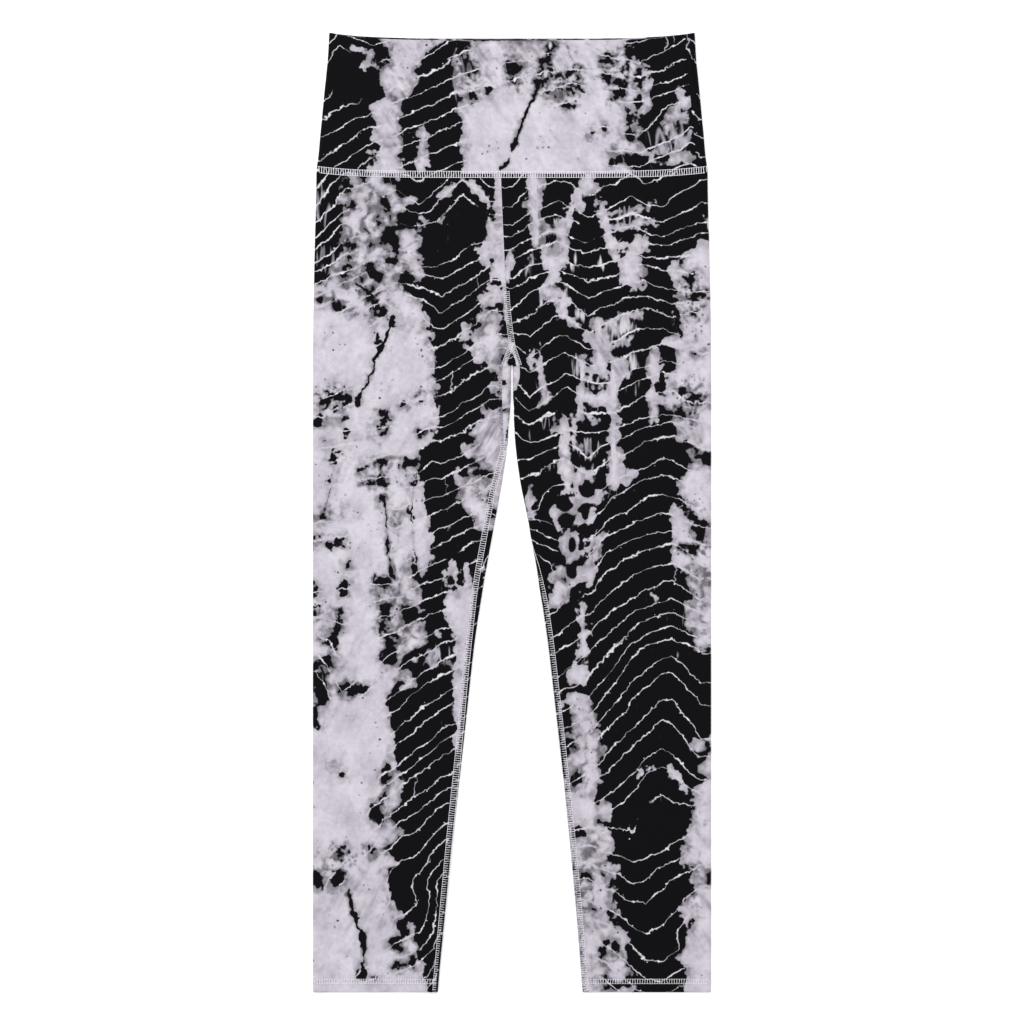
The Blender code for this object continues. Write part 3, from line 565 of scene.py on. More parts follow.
# Wearer's left leg, front: wraps that zigzag over the hip, and a broad dyed fold with peaks down the shin.
LeftWraps = namedtuple(
    "LeftWraps", "down seam strip first second valley inner third trough peak ridge outer"
)
LEFT_FRONT = Chart(
    knots=(0, 18, 44, 54, 76, 94, 120, 134, 150, 160, 188),
    wraps=rows_of(
        LeftWraps,
        (141, 26, 9, 0, 3, 14, 5, -6, 4, 0, -4, -17), (160, 26, 10, 0, 4, 16, 7, -5, 5, 2, -3, -14),
        (182, 28, 12, 0, 5, 17, 10, -2, 6, 8, 3, -8), (204, 27, 11, 0, 6, 17, 7, -9, 3, 8, 2, -12),
        (237, 30, 14, 0, 4, 18, 12, -2, -3, 2, 3, 5), (257, 26, 12, 0, 4, 19, 12, -1, 0, 7, 9, 12),
        (282, 32, 18, 0, 1, 18, 6, -5, -9, -2, 3, -6), (315, 6, 22, 5, 0, 15, 13, 1, -4, -8, -6, 2),
        (347, 6, 21, 7, 0, 10, 11, -3, -9, -15, -14, -5),
        (375, 8, 25, 8, 0, 12, 11, -3, -7, -12, -10, -2),
        (398, 2, 14, 7, 0, 4, 1, -8, -16, -23, -24, -12),
        (425, 18, 17, 4, 0, 15, 3, -8, -16, -22, -22, -8),
        (452, 22, 16, 3, 0, 18, 3, -12, -20, -24, -22, -8),
        (474, 18, 16, 2, 0, 14, -8, -24, -32, -36, -34, -18),
        (490, -12, -6, 7, 0, 2, -18, -34, -40, -44, -44, -28),
        (530, -36, -28, -6, -3, 0, -22, -37, -43, -48, -50, -34),
        (565, 10, 6, 12, 8, 0, -16, -34, -41, -47, -51, -32),
        (600, 52, 40, 22, 14, 0, -14, -40, -52, -64, -66, -46),
        (615, 46, 34, 18, 12, 2, -14, -50, -60, -68, -70, -54),
        (640, 60, 46, 26, 18, 6, -14, -47, -56, -67, -69, -47),
        (665, 58, 44, 24, 17, 7, -14, -43, -55, -65, -66, -40),
        (690, 56, 42, 22, 16, 6, -14, -39, -51, -63, -61, -34),
        (715, 52, 40, 22, 16, 5, -14, -37, -50, -60, -56, -28),
        (740, 47, 37, 21, 14, 3, -14, -35, -50, -54, -51, -29),
        (760, 44, 34, 19, 13, -2, -14, -31, -42, -47, -44, -30),
        (785, 26, 18, 8, 4, -9, -14, -20, -26, -28, -30, -35),
        (806, -6, -10, -14, -17, -20, -14, -7, -12, -16, -24, -34),
        (834, -10, -12, -16, -20, -22, -14, -4, -7, -17, -22, -36),
        (858, -14, -18, -22, -23, -22, -14, 0, -3, -12, -18, -34),
        (880, -18, -22, -26, -26, -24, -14, 1, 8, 1, -8, -32),
        (900, -20, -24, -28, -27, -25, -14, 5, 12, 5, -3, -20),
        (920, -22, -26, -30, -29, -25, -14, 7, 20, 22, 16, 0),
        (959, -24, -28, -30, -28, -24, -14, 8, 19, 22, 14, -4),
    ),
    pitch=18.4,
    tallies=rows_of(
        Tally,
        (150, 0), (172, 0), (267, 1.6), (452, 1.7), (490, 0.5), (525, 0.5), (907, -0.3), (959, -0.3),
    ),
    stripes=(
        rows_of(
            Stripe,
            (120, -30, 17), (170, -30, 17), (192, -30, 20), (212, -30, 30), (240, -30, 60),
            (260, -30, 60),
        ),
        rows_of(
            Stripe,
            (120, 28, 240), (150, 29, 240), (180, 29, 240), (196, 28, 192), (210, 24, 181),
            (226, 10, 166), (238, -20, 156), (256, -30, 162), (280, -30, 163), (298, -30, 160),
            (310, -30, 152), (318, -30, 166), (334, -30, 164), (345, -30, 150), (358, -30, 148),
            (380, -30, 155), (392, -30, 163), (408, -30, 167), (424, -30, 176), (440, -30, 174),
            (450, -30, 166), (461, -30, 165), (476, -30, 163), (500, -30, 160), (530, -30, 160),
            (546, -30, 172), (560, -30, 182), (572, -30, 176), (590, -30, 176), (604, -30, 184),
            (618, -30, 198), (640, -30, 215), (690, -30, 205), (705, -30, 196), (718, -30, 198),
            (728, -30, 192), (738, -30, 187), (746, -30, 197), (754, -30, 182), (775, -30, 180),
            (790, -30, 179), (801, -30, 176), (820, -30, 169), (830, -30, 170), (842, -30, 176),
            (858, -30, 183), (868, -30, 172), (876, -30, 168), (892, -30, 174), (914, -30, 174),
            (926, -30, 160), (936, -30, 174), (980, -30, 171),
        ),
    ),
    patches=rows_of(
        Patch,
        (22.5, 165, 13, 110, 2, 0), (-3, 232, 9, 28, -8, 0), (77, 150, 17, 36, 0, 0),
        (67.5, 168, 6, 22, 6, 0), (82.5, 170, 7, 20, -4, 0), (76.5, 172, 8, 16), (58, 186, 6, 34, -8, 0),
        (90, 178, 7, 18, 0, 0), (44, 199, 32, 10, 0, 0), (32, 214, 9, 26, 0, 0),
        (51.5, 216, 7, 34, 0, 0), (42, 212, 10, 16), (40.5, 237, 17, 36, 2, 0), (42, 260, 28, 16, -8, 0),
        (48, 270, 16, 12, 0, 0), (97, 202, 7, 64, 14, 0), (114, 178, 40, 4, 8, 0),
        (118, 192, 46, 7, 4, 0), (134, 204, 6, 20, 0, 0), (117, 206, 16, 15), (120, 236, 24, 42, 0, 0),
        (110, 216, 7, 16, 0, 0), (126, 213, 7, 22, 0, 0), (50, 281, 20, 7, -30, 0),
        (64, 291, 30, 6, -32, 0), (76, 301, 18, 10, -40, 0), (120, 283, 28, 7, 16, 0),
        (102, 288, 34, 6, 24, 0), (87, 318, 17, 66, 0, 0), (106, 311, 28, 6, 18, 0),
        (107, 337, 20, 28, 14, 0), (70, 352, 6, 60, 0, 0), (84, 366, 26, 44, 0, 0), (84, 349, 10, 17),
        (84, 377, 25, 14), (80, 398, 32, 14), (101.5, 392, 11, 136, 0, 0), (103, 440, 15, 38, 0, 0),
        (117, 445, 8, 22, -20, 0), (143, 333, 14, 36, 0, 0), (143, 360, 11, 60, -4, 0),
        (150, 349, 6, 30), (18, 326, 3, 22, 4, 0), (30, 350, 2.5, 24, 10, 0), (32, 369, 13, 7, 20, 0),
        (41, 391, 5, 20, -8, 0), (54, 426, 12, 44, 0, 0), (51.5, 400, 7, 30, 0, 0),
        (62, 402, 5, 30, 0, 0), (17, 470, 7, 30, 6, 0), (56, 449, 5, 36, 0, 0), (74, 464, 25, 54, 0, 0),
        (53, 478, 28, 40, 0, 0), (86, 462, 12, 8, 44, 0), (73.5, 455, 13, 18, 10),
        (73, 478, 12, 15, -10), (53, 469, 19, 17, 10), (54, 487, 17, 13, 8), (36, 466, 12, 18, 30),
        (36, 490, 12, 16, -10), (61, 515, 26, 34, 0, 0), (60, 512, 8, 14), (67.5, 516, 1.5, 12),
        (48, 553, 19, 50, -10, 0), (63, 546, 24, 30, 0, 0), (60.5, 538, 10, 15), (62, 560, 8, 13, -30),
        (53, 547, 2, 8, 24), (83, 508, 24, 6, 48, 0), (81, 525, 26, 7, 44, 0), (77, 545, 14, 24, -30, 0),
        (72, 557, 4, 9), (71, 598, 8, 54, 3, 0), (67, 621, 4, 14, -20, 0), (68, 641, 16, 26, -14, 0),
        (169, 360, 10, 9, -40), (181, 368, 8, 9), (168, 378, 8, 9), (181, 386, 9, 11),
        (181, 384, 5, 7, 0, 0), (176, 412, 15, 9), (195, 424, 14, 11), (165, 285, 4, 24),
        (178, 245, 12, 9, 30), (186, 262, 12, 8), (178, 282, 7, 8), (181, 320, 4, 3), (188, 319, 4, 3),
        (190, 204, 18, 12, 30), (180, 211, 20, 8, 30), (168, 228, 10, 6, 20), (189, 209, 5, 18, 0, 0),
        (193, 238, 16, 16, 0, 0), (195, 190, 5, 12, 0, 0), (164, 480, 14, 26, -8, 0),
        (174, 492, 22, 22, 30, 0), (186, 474, 30, 24, 0, 0), (177, 479, 46, 8, -46),
        (188, 496, 15, 24, -14), (176, 515, 20, 8, -10), (163, 516, 9, 26, -10, 0),
        (190, 538, 22, 44, 0, 0), (166, 543, 11, 26, 35), (181, 582, 16, 22, 0, 0),
        (190, 602, 20, 28, 0, 0), (142, 570, 2, 8, 0, 0), (64, 642, 20, 20, -14, 0),
        (62, 690, 42, 58, 4, 0), (70, 655, 26, 8, -6), (72, 684, 24, 40, -8, 0), (74, 716, 32, 44, 0, 0),
        (66, 746, 46, 46, 0, 0), (62, 778, 52, 44, 0, 0), (90, 778, 20, 20, 0, 0),
        (62, 816, 52, 60, 0, 0), (86, 812, 28, 40, 0, 0), (96, 838, 18, 22, 0, 0),
        (70, 862, 64, 60, 0, 0), (92, 880, 24, 34, 0, 0), (99, 886, 13, 34, -10, 0),
        (78, 916, 66, 60, 0, 0), (104, 908, 24, 30, -30, 0), (84, 956, 74, 50, 0, 0),
        (112, 934, 20, 14, -36, 0), (118, 950, 14, 9, -40), (56, 686, 9, 26, 6), (57, 708, 9, 14, -20),
        (62, 746, 12, 10, -30), (63, 797, 12, 11), (76, 817, 17, 8, -14), (70, 842, 12, 11, 20),
        (66, 857, 7, 12), (92, 917, 7, 17, -8), (101, 917, 9, 19, -12), (93, 949, 7, 14),
        (104, 954, 9, 6), (82, 880, 4, 3), (97, 876, 4, 8), (187, 712, 10, 12, 0, 0),
        (134, 738, 24, 4, 36, 0), (165, 743, 6, 30, 38, 0), (199, 843, 6, 8), (176, 840, 10, 9),
        (178, 888, 3, 8), (175, 726, 12, 8),
    ),
    cracks=(
        rows_of(
            Crack,
            (162, 271, 0.8), (166, 279, 1.6), (166, 292, 1.8), (169, 304, 0.8),
        ),
    ),
    combs=rows_of(
        Haze,
        (44, 190, 30, 18, 0.6), (116, 184, 40, 26, 1.0), (42, 214, 24, 16, 0.8), (44, 264, 34, 26, 0.7),
        (16, 240, 20, 50, 0.5), (108, 300, 44, 34, 1.0), (84, 350, 22, 18, 0.9), (84, 376, 28, 20, 0.5),
        (76, 414, 36, 26, 0.8), (30, 350, 30, 50, 0.5), (34, 390, 30, 36, 0.5), (76, 438, 30, 26, 0.7),
        (84, 520, 20, 40, 0.5),
    ),
    specks=rows_of(
        Haze,
        (182, 362, 44, 50, 0.9), (184, 270, 50, 70, 0.7), (188, 530, 40, 60, 0.8),
        (186, 470, 40, 40, 0.6), (186, 600, 34, 40, 0.4), (70, 700, 40, 60, 0.4), (80, 850, 50, 60, 0.3),
        (185, 870, 30, 80, 0.3), (134, 192, 24, 40, 0.5),
    ),
    blots=rows_of(
        Haze,
        (180, 370, 50, 70, 0.7), (186, 420, 40, 60, 0.6), (186, 560, 40, 120, 0.8),
        (184, 270, 50, 80, 0.5), (70, 720, 50, 90, 0.6), (76, 850, 60, 120, 0.65),
        (96, 940, 60, 60, 0.6), (48, 550, 26, 50, 0.5), (190, 800, 30, 160, 0.4),
    ),
    plains=rows_of(
        Haze,
        (138, 783, 44, 20, 1.0), (76, 198, 24, 18, 1.0), (52, 373, 22, 18, 1.0), (119, 206, 16, 10, 1.0),
        (70, 466, 24, 40, 1.0), (54, 480, 26, 34, 1.0), (61, 514, 24, 40, 1.0), (58, 546, 24, 50, 1.0),
    ),
    shades=rows_of(
        Haze,
        (18, 470, 14, 40, 0.5), (96, 318, 36, 50, 0.6), (84, 395, 36, 50, 0.6), (58, 424, 24, 50, 0.5),
        (83, 517, 22, 40, 0.8), (50, 575, 18, 20, 0.7), (20, 180, 20, 60, 0.4), (110, 336, 26, 20, 0.8),
        (190, 260, 30, 90, 0.25), (186, 400, 40, 60, 0.4), (188, 560, 40, 90, 0.4),
        (80, 860, 60, 110, 0.25), (60, 700, 40, 80, 0.5), (190, 880, 30, 120, 0.4),
    ),
    washes=rows_of(
        Haze,
        (19, 230, 13, 30, 0.7), (62, 228, 11, 26, 0.8), (88, 230, 10, 20, 0.7), (64, 332, 12, 34, 0.8),
        (76, 262, 12, 16, 0.6), (28, 268, 10, 30, 0.6), (70, 282, 24, 18, 0.75),
        (112, 292, 36, 26, 0.75), (45, 186, 20, 8, 0.7), (119, 336, 20, 44, 0.75),
        (84, 368, 24, 10, 0.7), (80, 422, 30, 14, 0.6), (44, 432, 18, 14, 0.55), (142, 552, 3, 26, 0.6),
        (142, 577, 6, 18, 0.7), (155, 586, 3, 24, 0.7), (172, 590, 5, 24, 0.6), (165, 622, 8, 12, 0.55),
    ),
)


def turned_over(chart, lower):
    """A chart for a hidden side: another piece's, mirrored and moved towards the hem."""

    def over(nodes):
        return tuple(node._replace(x=-node.x, down=node.down + lower) for node in nodes)

    return Chart(
        knots=tuple(-knot for knot in reversed(chart.knots)),
        wraps=tuple(type(row)(row[0] + lower, *reversed(row[1:])) for row in chart.wraps),
        pitch=chart.pitch,
        tallies=tuple(row._replace(down=row.down + lower) for row in chart.tallies),
        stripes=tuple(
            tuple(Stripe(row.down + lower, -row.end, -row.start) for row in stripe)
            for stripe in chart.stripes
        ),
        patches=tuple(patch._replace(angle=-patch.angle) for patch in over(chart.patches)),
        cracks=tuple(over(crack) for crack in chart.cracks),
        **{name: over(getattr(chart, name)) for name in SPOTS},
    )


RIGHT_BACK = turned_over(LEFT_FRONT, -34)
RIGHT_BACK = RIGHT_BACK._replace(
    patches=RIGHT_BACK.patches
    + rows_of(
        Patch,
        (-8, 440, 16, 70, -10, 0), (-17, 472, 8, 13, -10), (-19, 488, 9, 14, -10, 0),
        (-27, 548, 14, 110, -10), (-40, 640, 14, 120, -7), (-52, 740, 14, 120, -7),
        (-62, 840, 14, 130, -6), (-71, 930, 14, 130, -6),
    )
)
LEFT_BACK = turned_over(RIGHT_FRONT, -52)
LEFT_BACK = LEFT_BACK._replace(
    patches=LEFT_BACK.patches
    + rows_of(
        Patch,
        (26, 540, 12, 90, 8), (36, 610, 12, 100, 8), (45, 686, 12, 90, 7), (56, 790, 14, 100, 6, 0),
        (67, 890, 14, 150, 5, 0),
    )
)
CHARTS = {"right": (RIGHT_FRONT, RIGHT_BACK), "left": (LEFT_FRONT, LEFT_BACK)}


class Wire:
    """A value in the dye's node tree. Arithmetic on it adds Math nodes."""

    def __init__(self, tree, socket):
        self.tree = tree
        self.socket = socket

    def __add__(self, other):
        return self.maths("ADD", other)

    def __sub__(self, other):
        return self.maths("SUBTRACT", other)

    def __rsub__(self, other):
        return add_node(self.tree, "ShaderNodeMath", {"operation": "SUBTRACT"}, {0: other, 1: self})

    def __mul__(self, other):
        return self.maths("MULTIPLY", other)

    def maths(self, operation, other=0.0, third=0.0):
        return add_node(
            self.tree, "ShaderNodeMath", {"operation": operation}, {0: self, 1: other, 2: third}
        )

    def ramp(self, start, end):
        """0 at start and 1 at end, eased."""
        return add_node(
            self.tree,
            "ShaderNodeMapRange",
            {"interpolation_type": "SMOOTHSTEP"},
            {"Value": self, "From Min": start, "From Max": end},
        )


def add_node(tree, kind, settings, sockets):
    """A node with its settings and inputs set or linked, as the wire of its first output."""
    node = tree.nodes.new(kind)
    for name, value in settings.items():
        setattr(node, name, value)
    for name, value in sockets.items():
        if isinstance(value, Wire):
            tree.links.new(value.socket, node.inputs[name])
        else:
            node.inputs[name].default_value = value
    return Wire(tree, node.outputs[0])


def new_material(name, looks):
    """A material with the inputs of its shader that looks names."""
    material = bpy.data.materials.new(name)
    material.use_nodes = True
    for socket, value in looks.items():
        material.node_tree.nodes["Principled BSDF"].inputs[socket].default_value = value
    return material


def linear(red, green, blue):
    """A colour given as seen on a screen, 0 to 255, as a shader needs it."""
    shares = (part / 255 for part in (red, green, blue))
    return (*(s / 12.92 if s < 0.04045 else ((s + 0.055) / 1.055) ** 2.4 for s in shares), 1.0)


def mix_colour(factor, first, second):
    """second over first by factor."""
    node = factor.tree.nodes.new("ShaderNodeMix")
    node.data_type = "RGBA"
    for i, value in ((0, factor), (6, first), (7, second)):
        if isinstance(value, Wire):
            factor.tree.links.new(value.socket, node.inputs[i])
        else:
            node.inputs[i].default_value = value
    return Wire(factor.tree, node.outputs[2])


BLACK_DYE = linear(13, 12, 15)
RESIST_LINE = linear(232, 229, 237)
PALE_BRIGHT = linear(222, 216, 227)
PALE_SHADED = linear(192, 186, 198)
# Grey dye, and painted shade of the folds by the crotch and on the gusset.
PALE_GREY_AND_PAINTED_SHADE = linear(142, 135, 147)
# Needle holes with painted shade between the stitches, beside the seams.
SEAM_HOLES_AND_SHADE = linear(104, 98, 108)

dyed_knit = new_material(
    "dyed_knit", {"Specular IOR Level": 0.06, "Sheen Weight": 0.01, "Sheen Roughness": 0.5}
)
tree = dyed_knit.node_tree
shader = tree.nodes["Principled BSDF"]


def attribute(name):
    node = tree.nodes.new("ShaderNodeAttribute")
    node.attribute_name = name
    return Wire(tree, node.outputs["Vector"])


def parts(vector):
    node = tree.nodes.new("ShaderNodeSeparateXYZ")
    tree.links.new(vector.socket, node.inputs[0])
    return [Wire(tree, socket) for socket in node.outputs]


def noise(vector, size, detail=2.0, roughness=0.55):
    """Uneven values, mostly from -1 to 1, whose lumps are about size millimetres across."""
    fac = add_node(
        tree,
        "ShaderNodeTexNoise",
        {"noise_dimensions": "2D"},
        {"Vector": vector, "Scale": 1 / size, "Detail": detail, "Roughness": roughness},
    )
    return (fac - 0.5) * 4.0


def shifted(vector, x, y):
    return add_node(tree, "ShaderNodeVectorMath", {"operation": "ADD"}, {0: vector, 1: (x, y, 0.0)})


def stretched(vector, x, y):
    return add_node(
        tree, "ShaderNodeVectorMath", {"operation": "MULTIPLY"}, {0: vector, 1: (x, y, 1.0)}
    )


def cloth_noise(x, y, size, detail=2.0, roughness=0.55):
    """Noise over the cloth, read x and y further along so that no two of them agree."""
    return noise(shifted(cloth, x, y), size, detail, roughness)


cloth = attribute("cloth")
across, downward, _ = parts(cloth)
depth, wraps, spacing = parts(attribute("dye"))
comb, speck, blot = parts(attribute("marks"))
# The shades part of the fade attribute is grey dye, and by the crotch and on the gusset painted shade of
# folds.
plain, shade, wash = parts(attribute("fade"))
# The crack attribute also carries, third, how much needle holes with painted shade between the stitches show.
right_of_crack, crack_half, seam_holes_and_shade = parts(attribute("crack"))

# How far each point is beyond the nearest pale line that thread left. The lines wander and vary in width.
wander = noise(cloth, 24) * 1.9 + cloth_noise(90, 40, 7, 1.0) * 0.75
wander = wander + cloth_noise(17, 230, 2.6, 0.0) * 0.25
uneven = add_node(
    tree,
    "ShaderNodeTexNoise",
    {"noise_dimensions": "1D"},
    {"W": wraps * 0.63, "Scale": 1.0, "Detail": 0.0},
)
count = wraps + wander.maths("DIVIDE", spacing) + (uneven - 0.5) * 0.5
to_line = (0.5 - (count.maths("FRACT") - 0.5).maths("ABSOLUTE")) * spacing
beads = cloth_noise(310, 12, 5.0, 0.0).ramp(0.7, 1.5) * 0.8
barbs = cloth_noise(12, 310, 2.8, 0.0).ramp(1.1, 1.7) * 1.6
line_half = cloth_noise(44, 71, 20, 1.0) * 0.35 + 0.26 + beads + barbs - plain * 3.0
line_half = line_half + comb * 0.7
beyond_line = to_line - line_half

# How far it is inside dyed cloth: ragged at the edges, with islands, veins and flecks, broken into teeth
# between the wraps, and crossed by cracks. A cell is read along one space between two wraps.
row = count.maths("FLOOR") * 40.0
cell = add_node(tree, "ShaderNodeCombineXYZ", {}, {"X": across, "Y": row + downward * 0.15})
bent = across + noise(cloth, 5.0, 0.0) * 1.2
far_cell = add_node(tree, "ShaderNodeCombineXYZ", {}, {"X": bent + 300.0, "Y": row + downward * 0.1})
ragged = (
    cloth_noise(500, 3, 14, 2.0, 0.5) * 3.2
    + cloth_noise(5, 640, 5.5, 1.0) * 1.3
    + noise(far_cell, 17, 0.0) * comb * 5.0
)
islands = cloth_noise(640, 270, 18, 2.5, 0.55) * (blot * 6.0 + 3.0)
calm = 1.0 - plain.ramp(0.45, 0.9) * 0.8
vein = cloth_noise(30, 470, 34, 1.5).maths("ABSOLUTE") * -22.0
vein = vein + cloth_noise(310, 31, 15, 2.0) * 3.4 + blot * 13.0 - 9.6
flecks = cloth_noise(210, 60, 6.0, 1.0) * 9.0 * speck
in_dye = depth.maths("MAXIMUM", blot * 7.0 + speck * 4.0 - 14.0) + (ragged + islands + flecks) * calm
in_dye = in_dye.maths("SMOOTH_MAX", vein, 3.0)
in_tooth = noise(cell, 7.0, 0.0).maths("ABSOLUTE") * 7.0 - 1.1 + (1.0 - comb.ramp(0.1, 0.6)) * 7.0
link = noise(far_cell, 26, 0.0).maths("ABSOLUTE") * 26.0
link = link + 5.0 - noise(shifted(far_cell, 0, 700), 30, 0.0).ramp(0.8, 1.5) * 5.6
in_dye = in_dye.maths("SMOOTH_MIN", in_tooth, 2.5).maths("SMOOTH_MIN", link, 1.0)
from_crack = (right_of_crack + cloth_noise(61, 16, 8, 1.5) * 1.5).maths("ABSOLUTE")
in_crack = crack_half + 0.3 + cloth_noise(16, 61, 9, 2.0) * 1.1 - from_crack
beyond_line = beyond_line + in_dye.ramp(-4.0, -13.0) * 12.0
in_dye = in_dye.maths("SMOOTH_MAX", in_crack * 2.5, 1.0)

# How dark it is: black inside, smeared at the edge, seeping beyond it, dotted, and thin where it was washed.
smeared = cloth_noise(900, 90, 16).ramp(0.1, 1.3) * 1.6 + comb * 2.2 + blot * 1.2 + 0.8
smeared = smeared + speck * 1.8
dyed = (in_dye + smeared * 0.6).maths("SMOOTH_MIN", beyond_line, comb * 2.0 + 3.0)
dyed = dyed.maths("SMOOTH_MAX", in_crack * 2.0, 1.0)
black = dyed.ramp(-0.5, 0.5) * in_dye.maths("DIVIDE", smeared).ramp(-1.0, 1.0)
washed = noise(cell, 9, 1.0) * 1.2 + noise(shifted(cell, 45, 5), 3.6, 1.0) + wash * 4.0 - 2.0
washed = washed.ramp(0.0, 1.8) * 0.8
seep = (in_dye + cloth_noise(71, 900, 9, 2.0) * 2.8).ramp(-12.0, 0.5).maths("POWER", 2.0)
seeping = blot + speck * 0.5 + cloth_noise(444, 9, 34).ramp(-0.4, 1.2) * 0.7 + 0.35
seep = seep * beyond_line.ramp(-0.8, 1.8) * seeping.maths("MINIMUM", 1.0) * 0.75
teeth = noise(shifted(cell, 90, 0), 7.0, 1.0).ramp(-0.3, 0.9) * beyond_line.ramp(0.3, 4.5)
teeth = teeth * in_dye.ramp(-15.0, -1.0) * comb.ramp(0.0, 0.6) * 0.85
splash = tree.nodes.new("ShaderNodeTexVoronoi")
splash.voronoi_dimensions = "2D"
splash.inputs["Scale"].default_value = 1 / 6
tree.links.new(cloth.socket, splash.inputs["Vector"])
size, often, strength = parts(Wire(tree, splash.outputs["Color"]))
often = often + speck * 0.5 + blot * 0.2 + cloth_noise(555, 77, 22, 1.0) * 0.5
from_dot = Wire(tree, splash.outputs["Distance"]) + size * 0.16
from_dot = from_dot + cloth_noise(70, 7, 2.2, 1.0) * 0.05
dots = from_dot.ramp(0.34, 0.1) * often.ramp(0.95, 1.25) * (strength * 0.6 + 0.4)
darkness = black.maths("MAXIMUM", seep).maths("MAXIMUM", teeth).maths("MAXIMUM", dots) * (1.0 - washed)

# The colour of pale cloth: clouded, grey in leaning streaks, partly as dye and partly as painted shade of the
# drape folds by the crotch, and brightest where a line crosses the dye.
cloud = cloth_noise(8, 510, 30, 3.0, 0.55).ramp(-0.9, 0.9)
mottle = cloth_noise(60, 9, 5.0, 3.0, 0.6).ramp(-1.0, 1.0)
pale = mix_colour(cloud * 0.6 + mottle * 0.4, PALE_SHADED, PALE_BRIGHT)
# Leaning streaks and shades make pale cloth grey: grey dye, and by the crotch and on the gusset painted shade
# of the folds.
leaning = add_node(
    tree, "ShaderNodeCombineXYZ", {}, {"X": across + downward * 0.55 + 81.0, "Y": downward * 0.22 + 33.0}
)
streaks = noise(leaning, 8, 2.0)
grey_and_painted_shade = cloth_noise(33, 81, 19, 2.0) * 0.4 + streaks * (shade + 0.3) * 0.7
grey_and_painted_shade = (grey_and_painted_shade + shade * 0.7 + 0.1).ramp(0.0, 1.5)
pale = mix_colour(grey_and_painted_shade * beyond_line.ramp(-0.8, 1.2), pale, PALE_GREY_AND_PAINTED_SHADE)
pale = mix_colour(in_dye.ramp(0.5, 3.5), pale, RESIST_LINE)
# Needle holes darken pale cloth beside the seams and hems, with painted shade between the stitches.
holes_and_painted_shade = (cloth_noise(150, 15, 1.5, 1.0) * 0.9 + 0.3).ramp(0.0, 1.0) * seam_holes_and_shade
pale = mix_colour(holes_and_painted_shade, pale, SEAM_HOLES_AND_SHADE)
colour = mix_colour(darkness, pale, BLACK_DYE)
tree.links.new(colour.socket, shader.inputs["Base Color"])

# The knit's grain, and cloth that is never quite flat.
grain = noise(cloth, 0.9, 2.0, 0.7) + noise(stretched(shifted(cloth, 4, 4), 1.0, 0.35), 0.7, 0.0)
bump = add_node(
    tree,
    "ShaderNodeBump",
    {},
    {"Height": grain + cloth_noise(3, 7, 14) * 4.0, "Strength": 0.3, "Distance": 0.00005},
)
tree.links.new(bump.socket, shader.inputs["Normal"])
rough = 0.86 - black * 0.1
tree.links.new(rough.socket, shader.inputs["Roughness"])

ROW_STEP = 2.7
FRONT_COLUMNS = 68
BACK_COLUMNS = 44
FOLD_STEPS = 9
EDGE_COLUMNS = 14
EDGE_MARGIN = 16.0
BACK_CHART_FROM = 5.0  # how far past the outer fold the back's chart starts to count, and over how far
BACK_CHART_BLEND = 28.0
INSEAM_MARKS = 2.0  # half width of each row of needle holes with painted shade between the stitches
WAIST_MARKS = 1.5
HEM_MARKS = 2.0
RISE_MARKS_FROM = 240.0
RISE_MARKS_FADE = 30.0


def leg_downs(name):
    corners = [WAIST_SEAM + SEAM_GAP / 2, GUSSET_BACK_POINT, GUSSET_FRONT_POINT, CROTCH]
    corners += [GUSSET_TIPS[name], GUSSET_TIPS[name] + 1.0, LENGTH - HEM_DEPTH - 2.0, LENGTH - EDGE_RADIUS]
    downs = [corners[0]]
    for start, end in zip(corners, corners[1:]):
        steps = math.ceil((end - start) / ROW_STEP)
        downs += [start + (end - start) * i / steps for i in range(1, steps + 1)]
    return downs


def leg_ways(front_end, back_end, width):
    """Places round a leg, from its front edge over the upper layer and the outer fold to its back edge."""
    front_margin = min(front_end, width) - EDGE_MARGIN
    back_margin = min(-back_end, width) - EDGE_MARGIN
    return np.concatenate(
        (
            np.linspace(front_end, front_margin, EDGE_COLUMNS)[:-1],
            np.linspace(front_margin, FOLD, FRONT_COLUMNS)[:-1],
            np.linspace(FOLD, -FOLD, FOLD_STEPS)[:-1],
            np.linspace(-FOLD, -back_margin, BACK_COLUMNS)[:-1],
            np.linspace(-back_margin, back_end, EDGE_COLUMNS),
        )
    )


def leg_ends(name, down):
    """Where a leg's two edges are at a distance down, as ways round from its outer fold, and its width."""
    side = SIDES[name]
    outer = read(OUTER_FOLDS, "half_width", down)
    if down >= CROTCH:
        width = outer - read(INNERS[name], "half_gap", down)
        front = width - read(INNERS[name], "front_seam", down)
        return front - SEAM_GAP / 2, -(width + read(INNERS[name], "back_seam", down)) + SEAM_GAP / 2, width
    top = INNERS[name][0]
    ends = []
    for point, column, reach in (
        (GUSSET_FRONT_POINT, "front", top.front_seam),
        (GUSSET_BACK_POINT, "behind", -top.back_seam),
    ):
        x = side * read(CENTRE_SEAMS, column, down)
        if down > point:
            x = (CROTCH_HALF_GAP + reach) * (down - point) / (CROTCH - point)
        ends.append(outer - x - SEAM_GAP / 2)
    return ends[0], -ends[1], NO_INNER_FOLD


def on_leg(name, ways, down):
    """Points on a leg's outer face and which way they face."""
    outer = read(OUTER_FOLDS, "half_width", down)
    width = np.where(down < CROTCH, NO_INNER_FOLD, outer - read(INNERS[name], "half_gap", down))
    x, height, outward = on_tube(SIDES[name] * outer, width, SIDES[name], ways, leg_top, down)
    fade = settle((down - WAIST_SEAM) / LIFT_FADES)
    y = LENGTH / 2 - down + fade * seam_lift(x, ways >= 0, outer)
    return stack(x, y, height), outward


